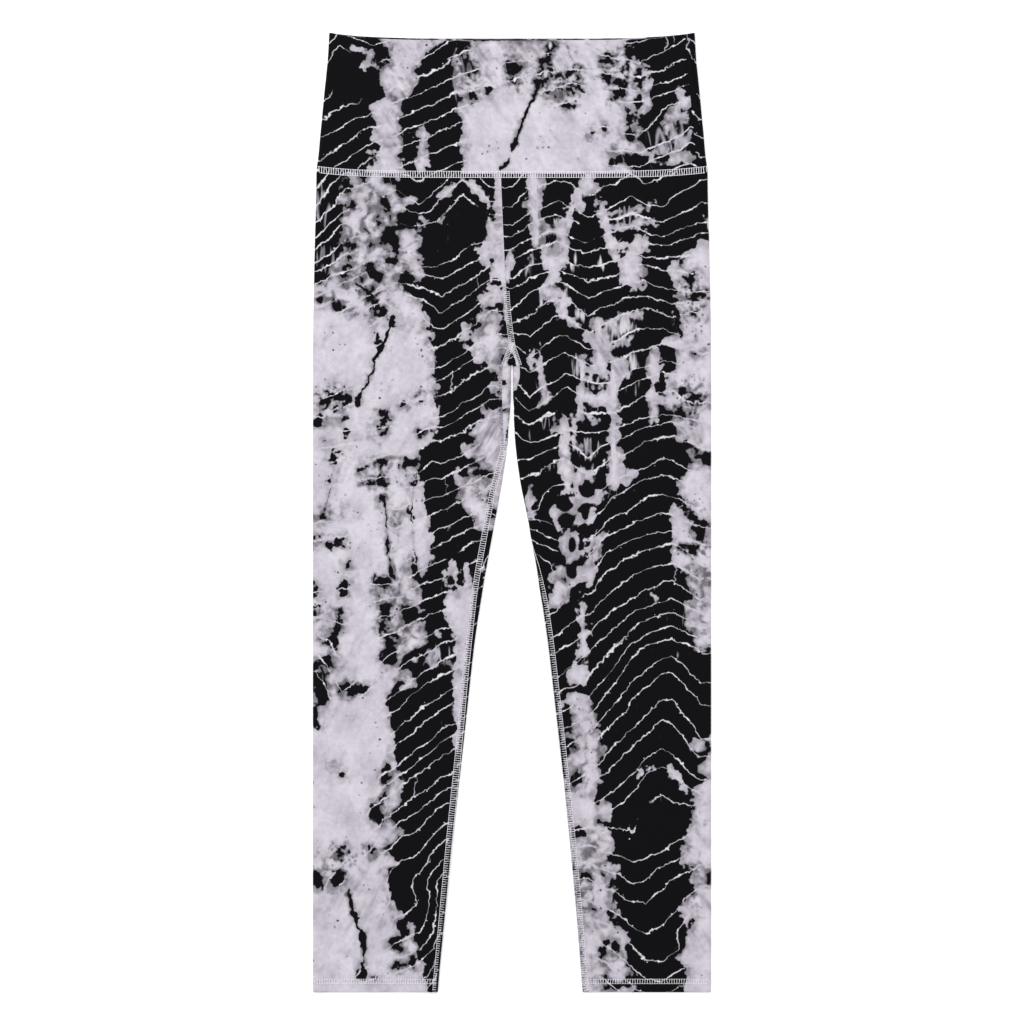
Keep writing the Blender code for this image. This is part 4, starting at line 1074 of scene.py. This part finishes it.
def leg_surface(name):
    """A leg's outer face: its points, which way they face, and where each is on the cloth."""
    downs = leg_downs(name)
    ways = np.array([leg_ways(*leg_ends(name, down)) for down in downs])
    down = np.array(downs)[:, None] * np.ones_like(ways)
    place, outward = on_leg(name, ways, down)
    to_edge = np.minimum(ways[:, :1] - ways, ways - ways[:, -1:])
    to_edge = np.minimum(to_edge, down - down[0, 0])
    return seam_dipped(place, outward, to_edge), outward, ways, down


def hem_turned(place, outward, ways, down):
    """The same with the hem turned up inside."""
    rows = len(place)
    ply = range(rows - 1, rows - 1 - round(HEM_DEPTH / ROW_STEP) - 1, -2)
    place, outward = turned_edge(place, outward, np.array((0.0, -1.0, 0.0)), ply)
    below = LENGTH + EDGE_STEP * np.arange(1, EDGE_TURNS)
    below = np.concatenate((below, 2 * LENGTH - down[list(ply), 0]))
    down = np.concatenate((down, below[:, None] * np.ones_like(ways[:1])))
    ways = np.concatenate((ways, np.repeat(ways[-1:], len(below), 0)))
    return place, outward, ways, down


def add_leg(name):
    place, outward, ways, down = hem_turned(*leg_surface(name))
    outer = read(OUTER_FOLDS, "half_width", down)
    x = SIDES[name] * (outer - np.abs(ways))
    behind = 1.0 - settle((-ways - BACK_CHART_FROM) / BACK_CHART_BLEND)
    cloth_place = stack(ways + LEG_CLOTH[name], down, np.zeros_like(down))
    to_edge = np.minimum(ways[:, :1] - ways, ways - ways[:, -1:])
    # How much needle holes, with painted shade between the stitches, show: beside the leg's seamed edges below
    # the rise, along the waist seam and along the hem.
    seam_holes_and_shade = settle((to_edge - INSEAM_MARKS) / MARK_FADE)
    seam_holes_and_shade = seam_holes_and_shade * (1.0 - settle((down - RISE_MARKS_FROM) / RISE_MARKS_FADE))
    seam_holes_and_shade = np.maximum(seam_holes_and_shade, MARK * settle((down - WAIST_SEAM - WAIST_MARKS) / MARK_FADE))
    seam_holes_and_shade = np.maximum(seam_holes_and_shade, MARK * settle((np.abs(down - HEM_SEAM) - HEM_MARKS) / MARK_FADE))
    fields = dye_fields(CHARTS[name], behind, x, down, cloth_place, seam_holes_and_shade)
    leg = add_wall("leg_" + name + "_knit", place, outward, fields, dyed_knit)
    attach(leg, "root")
    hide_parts("leg_" + name)
    return leg


leg_right = add_leg("right")
leg_left = add_leg("left")

# ---------------------------------------------------------------------------------------------------------
# Gusset. A narrow piece of jersey let in at the crotch: it turns over the top of the gap between the legs and
# runs down both inseams to a point, wrapping each leg's inner fold.

GUSSET_COLUMNS = 27
GUSSET_ROWS = {"left": 44, "right": 56}
GUSSET_TURNS = 30
GUSSET_COLUMN = 0.6  # about how far apart its columns lie near its edges
GUSSET_MARK = 0.5

SmallWraps = namedtuple("SmallWraps", "down one other")
GUSSET_CHART = Chart(
    knots=(-10, 10),
    wraps=rows_of(
        SmallWraps,
        (290, 3, -3), (420, 3, -3),
    ),
    pitch=17.0,
    tallies=EVEN,
    stripes=(
        rows_of(
            Stripe,
            (352, 2.5, 12), (356, 2, 12), (360, -1, 12), (420, -2, 12),
        ),
    ),
    # The thin dark patches at down 350.6 and 377 are painted shade in the creases between the gusset's rolled
    # lobes.
    patches=rows_of(
        Patch,
        (0, 332, 40, 44, 0, 0), (-10, 372, 16, 90, 0, 0), (-0.8, 328, 2.6, 9), (-9, 350.6, 5, 1.6, -6),
        (-8, 377, 9, 1.8, 10),
    ),
    # The thin shades across it at down 333, 350.6 and 377 are painted shade between its rolled lobes, and the
    # long one at x -3 is painted shade along its rolled edge by the gap.
    shades=rows_of(
        Haze,
        (-3, 350, 3, 90, 0.6), (-6, 333, 14, 2.4, 1.0), (5, 333, 8, 2.4, 1.0), (-6, 350.6, 14, 2.6, 1.0),
        (-6, 377, 14, 3, 1.0),
    ),
)


def gusset_side(name):
    """The gusset round one leg's inner fold, from the crotch down to its point."""
    side = SIDES[name]
    down = np.linspace(CROTCH, GUSSET_TIPS[name], GUSSET_ROWS[name])[:, None]
    outer = read(OUTER_FOLDS, "half_width", down)
    width = outer - read(INNERS[name], "half_gap", down)
    start = width - read(INNERS[name], "front_seam", down) + SEAM_GAP / 2
    end = width - read(INNERS[name], "back_seam", down) - SEAM_GAP / 2
    ways = start + (end - start) * np.linspace(0.0, 1.0, GUSSET_COLUMNS)
    down = down * np.ones_like(ways)
    x, height, outward = on_tube(side * outer, width, side, ways, leg_top, down)
    return stack(x, LENGTH / 2 - down, height), outward, side * (outer - ways), down


def fan_reach(turn, side_reach, rise):
    """Distance from the top of the gap to the gusset's straight side, in the direction turn."""
    inset = SEAM_GAP / 2 * np.hypot(1 / side_reach, 1 / rise)
    return (1 - inset) / (np.abs(np.cos(turn)) / side_reach + np.sin(turn) / rise)


def gusset_fan():
    """The gusset where it turns over the top of the gap, each row along one direction out of it."""
    turn = np.linspace(math.pi, 0.0, GUSSET_TURNS + 2)[1:-1, None]
    front_side, back_side = (
        np.where(turn < math.pi / 2, INNERS["left"][0][i], INNERS["right"][0][i]) for i in (2, 3)
    )
    front = fan_reach(turn, CROTCH_HALF_GAP + front_side, CROTCH - GUSSET_FRONT_POINT)
    back = fan_reach(turn, CROTCH_HALF_GAP - back_side, CROTCH - GUSSET_BACK_POINT)
    start = front - CROTCH_HALF_GAP
    ways = start + (CROTCH_HALF_GAP - back - start) * np.linspace(0.0, 1.0, GUSSET_COLUMNS)
    face = np.where(ways >= 0, 1.0, -1.0)
    bend = np.minimum(np.abs(ways) / FOLD, 1.0) * math.pi / 2
    folded = np.abs(ways) < FOLD
    away = CROTCH_HALF_GAP + np.where(folded, FOLD * (1 - np.cos(bend)), np.abs(ways))
    x, rise = away * np.cos(turn), away * np.sin(turn)
    flat = np.where(face > 0, leg_top(x, CROTCH - rise), 0.0)
    height = np.where(folded, FOLD * (1 + face * np.sin(bend)), flat)
    towards = np.where(folded, -np.cos(bend), 0.0)
    outward = stack(towards * np.cos(turn), towards * np.sin(turn), face * np.sin(bend))
    cloth_x = (CROTCH_HALF_GAP + ways) * np.cos(turn)
    cloth_down = CROTCH - (CROTCH_HALF_GAP + ways) * np.sin(turn)
    return stack(x, LENGTH / 2 - CROTCH + rise, height), outward, cloth_x, cloth_down


down_right = [rows[::-1] for rows in gusset_side("right")]
place, outward, x, down = (
    np.concatenate(rows) for rows in zip(down_right, gusset_fan(), gusset_side("left"))
)
to_edge = np.minimum(np.arange(GUSSET_COLUMNS), GUSSET_COLUMNS - 1 - np.arange(GUSSET_COLUMNS))
to_edge = to_edge * GUSSET_COLUMN
place = seam_dipped(place, outward, to_edge)
# Needle holes with painted shade between the stitches along the gusset's seamed edges.
seam_holes_and_shade = GUSSET_MARK * settle(to_edge / MARK_FADE) * np.ones_like(x)
fields = dye_fields(
    (GUSSET_CHART,) * 2, np.zeros_like(x), x, down, stack(x, down, np.zeros_like(x)), seam_holes_and_shade
)
gusset = add_wall("gusset_knit", place, outward, fields, dyed_knit)
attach(gusset, "root")
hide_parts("gusset")

# ---------------------------------------------------------------------------------------------------------
# Waistband. Two halves of doubled jersey with a folded top edge, joined by a side seam at each side. The one
# on the wearer's left has rolled on to the front. It is dyed as the legs are.

BAND_TOP = 4.8
BAND_DIP_FRONT = 7.5
BAND_DIP_BACK = 5.5
SIDE_SEAM_ON_FRONT = 9.6
SIDE_SEAM_BEHIND = 4.6
BAND_COLUMNS = 160

Waist = namedtuple("Waist", "down half_width")
WAISTBAND = rows_of(
    Waist,
    (0, 182.6), (27, 184.1), (47, 186.0), (67, 188.0), (87, 189.8), (107, 191.7), (127, 193.4),
    (141, 195.4),
)

BandWraps = namedtuple("BandWraps", "down far left pale stripe stripe_end centre panel seam end")
BAND_FRONT = Chart(
    knots=(-190, -172, -138, -110, -50, 60, 127, 178, 194),
    wraps=rows_of(
        BandWraps,
        (-20, 20, 0, 14, -2, -34, -50, -40, -66, -62), (14, 20, -2, 14, 4, -30, -50, -36, -62, -58),
        (40, 26, 6, 20, 6, -26, -50, -38, -58, -54), (72, 40, 28, 14, 0, -26, -46, -46, -66, -62),
        (104, 42, 30, 10, 0, -25, -40, -30, -52, -44), (141, 50, 34, 10, 2, -22, -36, -30, -50, -42),
    ),
    pitch=16.6,
    tallies=EVEN,
    stripes=(
        rows_of(
            Stripe,
            (-160, -240, -130), (7, -240, -133), (17, -240, -125), (33, -240, -131), (48, -240, -131),
            (58, -240, -127), (76, -240, -138), (99, -240, -139), (115, -240, -142), (160, -240, -150),
        ),
        rows_of(
            Stripe,
            (10, -80, -66), (16, -78, -58), (24, -88, -57), (30, -91, -57), (45, -95, -56),
            (58, -103, -55), (76, -111, -53), (99, -112, -52), (118, -110, -51), (160, -104, -48),
        ),
        (Stripe(-6, -48, 100), Stripe(7.4, -44, 30)),
        rows_of(
            Stripe,
            (-160, 112, 240), (6, 116, 240), (12, 118, 240), (24, 124, 240), (34, 137, 240),
            (56, 139, 240), (80, 139, 240), (92, 136, 240), (110, 130, 240), (130, 118, 240),
            (160, 118, 240),
        ),
    ),
    patches=rows_of(
        Patch,
        (-157, 16, 11, 3.5, -20, 0), (-143.5, 27, 2.4, 11, -32, 0), (-136, 30.5, 3, 18, 21, 0),
        (-126, 21, 8, 15), (-60, 8, 40, 8, 0, 0), (-138, 114, 14, 9, -10), (-141, 127, 16, 9),
        (-50, 17, 16, 18, 20), (-90, 118, 7, 44, 0, 0), (-94, 104, 18, 6, 10, 0),
        (-90, 128, 10, 10, 0, 0), (-84, 20, 9, 5), (-70, 14, 30, 8, 20), (3, 34, 11, 13, 20),
        (2, 47, 11, 8), (-22, 58, 9, 8, 30), (-38, 63, 9, 8), (-44, 34, 8, 26, 10), (34, 46, 17, 9, -30),
        (31, 36, 6, 6), (58, 41, 20, 7, 14), (52, 58, 16, 12, 40), (38, 62, 11, 13, -10),
        (62, 55, 8, 10, 30), (54, 72, 7, 4, 10), (39, 13, 8, 9), (31, 29, 5, 8), (88, 97, 5, 4),
        (81, 100, 4, 3), (98, 27, 11, 9, -20), (118, 20, 16, 16, -30), (111, 35, 9, 10, -20),
        (97, 45, 8, 7), (107, 49, 13, 12, -20), (106, 60, 12, 7), (127, 52, 4, 24), (127, 68, 5, 18),
        (118, 92, 10, 34, 8), (108, 128, 22, 9, 14), (178, 20, 6, 26, 4, 0), (166, 96, 22, 44, 10, 0),
        (172, 70, 12, 22, 14, 0), (152, 124, 44, 18, -6, 0), (138, 98, 22, 44), (167, 101, 28, 15, 16),
        (151, 126, 20, 8), (170, 126, 20, 9, 0, 0), (124, 104, 3, 26, 4, 0), (129, 126, 22, 14, -10),
    ),
    cracks=(
        rows_of(
            Crack,
            (27, 52, 3.4), (23, 62, 2.4), (17, 73, 1.2), (13, 84, 1.3), (8, 94, 1.1), (5, 104, 1.6),
            (2, 113, 3.0), (1, 118, 1.8),
        ),
        rows_of(
            Crack,
            (-3, 126, 1.0), (-6, 131, 2.6), (-11, 137, 1.2),
        ),
    ),
    combs=rows_of(
        Haze,
        (156, 104, 50, 50, 0.9), (-44, 34, 34, 44, 0.6), (-56, 45, 14, 70, 0.7), (40, 62, 50, 16, 0.8),
    ),
    specks=rows_of(
        Haze,
        (44, 50, 90, 60, 0.7), (104, 40, 40, 70, 0.9), (-44, 40, 40, 70, 0.6), (0, 34, 40, 50, 0.4),
        (84, 98, 40, 30, 0.4), (-108, 20, 50, 40, 0.3), (140, 100, 40, 40, 0.4),
    ),
    blots=rows_of(
        Haze,
        (40, 30, 120, 60, 0.6), (-40, 40, 50, 80, 0.5), (104, 40, 50, 90, 0.45),
        (-106, 70, 50, 160, 0.4), (116, 110, 40, 70, 0.6),
    ),
    plains=rows_of(
        Haze,
        (-164, 46, 60, 26, 1.0), (-138, 62, 30, 20, 0.7), (22, 8, 130, 18, 1.0),
        (-146, 26, 26, 22, 0.75),
    ),
    shades=rows_of(
        Haze,
        (-110, 80, 60, 140, 0.5), (0, 20, 200, 36, 0.5), (160, 100, 50, 60, 0.5),
    ),
    washes=rows_of(
        Haze,
        (165, 76, 16, 22, 0.6), (160, 118, 24, 9, 0.6), (-141, 129, 16, 10, 0.75), (39, 13, 12, 12, 0.7),
    ),
)
BAND_BACK = turned_over(BAND_FRONT, 6)
BAND_BACK = BAND_BACK._replace(
    stripes=(
        *BAND_BACK.stripes,
        (Stripe(-4, -116, 112), Stripe(3, -112, 106), Stripe(9, -90, 92)),
    )
)


def level(x, half_width):
    """How much of its dip the band's edge has at x: all of it at the middle, none at the sides."""
    return 1 - np.minimum(np.abs(x) / half_width, 1.0) ** DIP_POWER


def band_surface(spans, downs):
    """A waistband half's outer face, from its rows' distances down."""
    down = np.array(downs)[:, None] * np.ones((1, BAND_COLUMNS))
    half_width = read(WAISTBAND, "half_width", down)
    width = 2 * half_width
    start, end = (span(width[:, 0]) for span in spans)
    ways = start[:, None] + (end - start)[:, None] * np.linspace(0.0, 1.0, BAND_COLUMNS)
    x, height, outward = on_tube(half_width, width, 1.0, ways, band_height, down)
    on_front = (ways >= 0) & (ways <= width)
    top_edge = LENGTH / 2 - level(x, half_width) * np.where(on_front, BAND_DIP_FRONT, BAND_DIP_BACK)
    seam = LENGTH / 2 - WAIST_SEAM + seam_lift(x, on_front, half_width) + SEAM_GAP / 2
    y = top_edge + (seam - top_edge) * down / WAIST_SEAM
    to_edge = np.minimum(np.abs(ways - ways[:, :1]), np.abs(ways - ways[:, -1:]))
    to_edge = np.minimum(to_edge, WAIST_SEAM - down)
    return seam_dipped(stack(x, y, height), outward, to_edge), outward, ways, down


def band_height(x, down):
    half_width = read(WAISTBAND, "half_width", down)
    fullness = settle((half_width - np.abs(x) - FOLD) / SHOULDER)
    return BAND_TOP + (2 * FOLD - BAND_TOP) * fullness


def add_band_half(name, spans, chart, apart):
    """A half of the waistband, folded at the top with its second layer inside. spans give where it starts and
    ends round the band, and apart where it is read in the dye's unevenness."""
    steps = math.ceil((WAIST_SEAM - EDGE_RADIUS) / ROW_STEP)
    downs = [WAIST_SEAM - (WAIST_SEAM - EDGE_RADIUS) * i / steps for i in range(steps + 1)]
    place, outward, ways, down = band_surface(spans, downs)
    ply = list(range(len(downs) - 1, 0, -4)) + [0]
    place, outward = turned_edge(place, outward, np.array((0.0, 1.0, 0.0)), ply)
    above = np.concatenate((-EDGE_STEP * np.arange(1, EDGE_TURNS) + EDGE_RADIUS, -down[ply, 0]))
    down = np.concatenate((down, above[:, None] * np.ones_like(ways[:1])))
    ways = np.concatenate((ways, np.repeat(ways[-1:], EDGE_TURNS - 1, 0), ways[ply]))
    half_width = read(WAISTBAND, "half_width", np.abs(down))
    on_front = (ways >= 0) & (ways <= 2 * half_width)
    x = np.where(ways >= 0, half_width - ways, half_width + ways)
    x = np.where(ways > 2 * half_width, 2 * -half_width - x, x)
    cloth_place = stack(ways + apart, down, np.zeros_like(down))
    # Needle holes with painted shade between the stitches along the waist seam.
    seam_holes_and_shade = MARK * settle((WAIST_SEAM - WAIST_MARKS - np.abs(down)) / MARK_FADE)
    sag = BAND_DIP_FRONT * on_front * level(x, half_width)
    level_down = down + sag * (1 - np.abs(down) / WAIST_SEAM)
    fields = dye_fields((chart, chart), np.zeros_like(x), x, level_down, cloth_place, seam_holes_and_shade)
    band = add_wall(name + "_knit", place, outward, fields, dyed_knit)
    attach(band, "root")
    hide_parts(name)
    return band


band_front = add_band_half(
    "waistband_front",
    (
        lambda width: np.full_like(width, SIDE_SEAM_ON_FRONT + SEAM_GAP / 2),
        lambda width: width + SIDE_SEAM_BEHIND - SEAM_GAP / 2,
    ),
    BAND_FRONT,
    apart=5000.0,
)
band_back = add_band_half(
    "waistband_back",
    (
        lambda width: np.full_like(width, SIDE_SEAM_ON_FRONT - SEAM_GAP / 2),
        lambda width: SIDE_SEAM_BEHIND + SEAM_GAP / 2 - width,
    ),
    BAND_BACK,
    apart=7000.0,
)

# ---------------------------------------------------------------------------------------------------------
# Seams. Flat ladders of pale thread: two rails of short stitches with rungs between them. They close the
# waist seam, both inseams, the centre seams by the crotch and the gusset, and hold up the hems.

THREAD = {"Base Color": linear(240, 238, 245), "Roughness": 0.7, "Specular IOR Level": 0.2}
thread = new_material("thread", THREAD)
RAIL_HALF = 0.56  # half a rail's stitch, as a share of the pitch: more than 0.5, so that stitches overlap
RUNG_FROM = 0.2  # how near the middle a rung starts, as a share of the ladder's half width
RUNG_SLANT = 0.2
WAIST_STITCH_SUNK = 0.1
BACK_STITCH_HEIGHT = 0.15


def sewing_tree():
    """Nodes that lay a rounded stitch on every point, along its thread and flat on the cloth."""
    tree = bpy.data.node_groups.new("sewing", "GeometryNodeTree")
    for name, way, kind in (
        ("Points", "INPUT", "Geometry"),
        ("Thickness", "INPUT", "Float"),
        ("Thread", "OUTPUT", "Geometry"),
    ):
        tree.interface.new_socket(name, in_out=way, socket_type="NodeSocket" + kind)

    def point_value(name, kind):
        return add_node(tree, "GeometryNodeInputNamedAttribute", {"data_type": kind}, {"Name": name})

    start = tree.nodes.new("NodeGroupInput")
    points, thickness = (Wire(tree, start.outputs[name]) for name in ("Points", "Thickness"))
    turned = {}
    for field, axis, pivot in (("along", "X", "AUTO"), ("outward", "Z", "X")):
        sockets = {"Vector": point_value(field, "FLOAT_VECTOR"), **turned}
        axes = {"axis": axis, "pivot_axis": pivot}
        turned = {"Rotation": add_node(tree, "FunctionNodeAlignRotationToVector", axes, sockets)}
    length = point_value("length", "FLOAT")
    size = add_node(tree, "ShaderNodeCombineXYZ", {}, {"X": length, "Y": thickness, "Z": thickness})
    stitch = add_node(tree, "GeometryNodeMeshUVSphere", {}, {"Segments": 7, "Rings": 5, "Radius": 0.5})
    sockets = {"Points": points, "Instance": stitch, "Scale": size, **turned}
    laid = add_node(tree, "GeometryNodeInstanceOnPoints", {}, sockets)
    real = add_node(tree, "GeometryNodeRealizeInstances", {}, {"Geometry": laid})
    finish = add_node(tree, "GeometryNodeSetMaterial", {}, {"Geometry": real, "Material": thread})
    tree.links.new(finish.socket, tree.nodes.new("NodeGroupOutput").inputs["Thread"])
    return tree


SEWING = sewing_tree()
uneven_hand = np.random.default_rng(5)


def ladder(surface, ways, downs, half_width, pitch):
    """Stitches along a path over the cloth, given as places round it and distances down, closely spaced.
    Each is a start and an end in those measures."""
    path = np.stack((ways, downs), 1)
    steps = np.linalg.norm(np.diff(path, axis=0), axis=1)
    so_far = np.concatenate(([0.0], np.cumsum(steps)))

    def along(distance):
        return np.stack([np.interp(distance, so_far, path[:, i]) for i in (0, 1)], 1)

    count = int(so_far[-1] / pitch)
    at = (np.arange(count) + 0.5) * pitch
    middle = along(at)
    ahead = along(at + 0.5)
    behind = along(at - 0.5)
    run = (ahead - behind) / np.linalg.norm(ahead - behind, axis=1, keepdims=True)
    over = run[:, ::-1] * (1.0, -1.0)
    starts, ends = [], []
    for side in (-1.0, 1.0):
        rail = middle + side * half_width * over
        starts.append(rail - RAIL_HALF * pitch * run)
        ends.append(rail + RAIL_HALF * pitch * run)
    slant = uneven_hand.uniform(-RUNG_SLANT, RUNG_SLANT, (count, 1)) * pitch * run
    for side in (-1.0, 1.0):
        starts.append(middle - side * RUNG_FROM * half_width * over)
        ends.append(middle + side * (half_width * over + slant))
    start, end = np.concatenate(starts), np.concatenate(ends)
    (start, _), (end, _) = (surface(part[:, 0], part[:, 1]) for part in (start, end))
    where = (np.concatenate(starts) + np.concatenate(ends)) / 2
    _, outward = surface(where[:, 0], where[:, 1])
    return (start + end) / 2, end - start, outward


def add_thread(name, ladders, thickness):
    """One piece of sewing: its ladders' stitches as rounded lengths of thread."""
    place, along, outward = (np.concatenate(part) for part in zip(*ladders))
    mesh = bpy.data.meshes.new(name)
    mesh.vertices.add(len(place))
    mesh.vertices.foreach_set("co", (place * MM).ravel())
    for field, values in (("along", along), ("outward", outward)):
        mesh.attributes.new(field, "FLOAT_VECTOR", "POINT").data.foreach_set("vector", values.ravel())
    lengths = np.linalg.norm(along, axis=1) * MM
    mesh.attributes.new("length", "FLOAT", "POINT").data.foreach_set("value", lengths)
    points = bpy.data.objects.new(name, mesh)
    bpy.context.scene.collection.objects.link(points)
    modifier = points.modifiers.new("sewing", "NODES")
    modifier.node_group = SEWING
    modifier[SEWING.interface.items_tree["Thickness"].identifier] = thickness * MM
    evaluated = points.evaluated_get(bpy.context.evaluated_depsgraph_get())
    sewn = bpy.data.meshes.new_from_object(evaluated)
    points.modifiers.remove(modifier)
    points.data = sewn
    sewn.shade_smooth()
    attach(points, "root")
    return points


def on_waist(way, rise):
    """Points on the waist seam, all round it, rise below or above it."""
    half_width = np.full_like(way, WAISTBAND[-1].half_width)
    down = np.full_like(way, WAIST_SEAM)
    x, height, outward = on_tube(half_width, 2 * half_width, 1.0, way, band_height, down)
    lift = seam_lift(x, (way >= 0) & (way <= 2 * half_width), half_width)
    return stack(x, LENGTH / 2 - WAIST_SEAM + lift - rise, height - WAIST_STITCH_SUNK), outward


waist = WAISTBAND[-1].half_width
waist_ways = np.linspace(-2 * waist, 2 * waist, 400)
waist_rises = np.full_like(waist_ways, 0.7)
waist_ladder = ladder(on_waist, waist_ways, waist_rises, half_width=3.0, pitch=2.4)
add_thread("waist_seam", [waist_ladder], thickness=0.9)

for name in ("left", "right"):

    def surface(ways, downs, name=name):
        return on_leg(name, ways, downs)

    down = np.linspace(GUSSET_TIPS[name] - 4.0, LENGTH - 1.5, 200)
    ends = [leg_ends(name, part)[0] for part in down]
    inseam = ladder(surface, np.array(ends), down, half_width=2.6, pitch=2.3)
    add_thread("inseam_" + name, [inseam], thickness=0.7)
    front_end, back_end, _ = leg_ends(name, HEM_SEAM)
    ways = np.linspace(front_end, back_end, 160)
    hem = ladder(surface, ways, np.full_like(ways, HEM_SEAM), half_width=2.2, pitch=2.45)
    add_thread("hem_" + name, [hem], thickness=0.6)


def on_front(x, down):
    height = leg_top(x, down)
    return stack(x, LENGTH / 2 - down, height), stack(0 * x, 0 * x, np.ones_like(x))


def on_back(x, down):
    height = np.full_like(x, BACK_STITCH_HEIGHT)
    return stack(x, LENGTH / 2 - down, height), stack(0 * x, 0 * x, -np.ones_like(x))


# The centre seams are stitched over only where they show, just above the gusset's two points.
down = np.linspace(258.0, 318.0, 30)
centre_front = read(CENTRE_SEAMS, "front", down)
down_behind = np.linspace(250.0, 300.0, 30)
centre_behind = read(CENTRE_SEAMS, "behind", down_behind)
edge_down = np.linspace(GUSSET_FRONT_POINT, CROTCH, 20)
gusset_edges = [
    ladder(on_front, np.linspace(0.0, reach, 20), edge_down, half_width=2.1, pitch=1.6)
    for reach in (-CROTCH_HALF_GAP - 8.0, CROTCH_HALF_GAP + 7.0)
]
add_thread(
    "crotch_seams",
    [
        ladder(on_front, centre_front, down, half_width=2.6, pitch=1.9),
        ladder(on_back, centre_behind, down_behind, half_width=2.6, pitch=1.9),
        *gusset_edges,
    ],
    thickness=0.6,
)

# ---------------------------------------------------------------------------------------------------------
# Floor, light and camera: a plain pale sheet under a broad soft light, seen from straight above.

FLOOR_HEIGHT = -0.0006  # just under the stitches of the lower layer
FLOOR_HALF = 3.0
floor_mesh = bpy.data.meshes.new("floor")
floor_mesh.from_pydata(
    [(x * FLOOR_HALF, y * FLOOR_HALF, FLOOR_HEIGHT) for x, y in ((-1, -1), (1, -1), (1, 1), (-1, 1))],
    [],
    [(0, 1, 2, 3)],
)
floor = bpy.data.objects.new("floor", floor_mesh)
bpy.context.scene.collection.objects.link(floor)
PAPER = {
    "Base Color": (0.97, 0.97, 0.97, 1.0),
    "Roughness": 0.9,
    "Emission Color": (1.0, 1.0, 1.0, 1.0),
    "Emission Strength": 0.35,
}
floor_mesh.materials.append(new_material("paper", PAPER))

world = bpy.data.worlds.new("soft_room")
world.use_nodes = True
world.node_tree.nodes["Background"].inputs["Color"].default_value = (1.0, 1.0, 1.0, 1.0)
world.node_tree.nodes["Background"].inputs["Strength"].default_value = 0.58
bpy.context.scene.world = world

softbox = bpy.data.lights.new("softbox", "AREA")
softbox.shape = "RECTANGLE"
softbox.size = 2.4
softbox.size_y = 2.4
softbox.energy = 49.0
softbox_object = bpy.data.objects.new("softbox", softbox)
softbox_object.location = (-0.5, 0.9, 2.6)
softbox_object.rotation_euler = (math.radians(-19), math.radians(-11), 0.0)
softbox_object.visible_camera = False
bpy.context.scene.collection.objects.link(softbox_object)

FRAME_WIDTH = 1.024  # of the surface that the garment lies on, across the picture
LENS = 180.0
camera_data = bpy.data.cameras.new("camera")
camera_data.lens = LENS
camera_data.clip_end = 50.0
camera = bpy.data.objects.new("camera", camera_data)
camera.location = (0.0, 0.0005, FRAME_WIDTH * LENS / camera_data.sensor_width)
bpy.context.scene.collection.objects.link(camera)
bpy.context.scene.camera = camera
bpy.context.scene.view_settings.view_transform = "Standard"
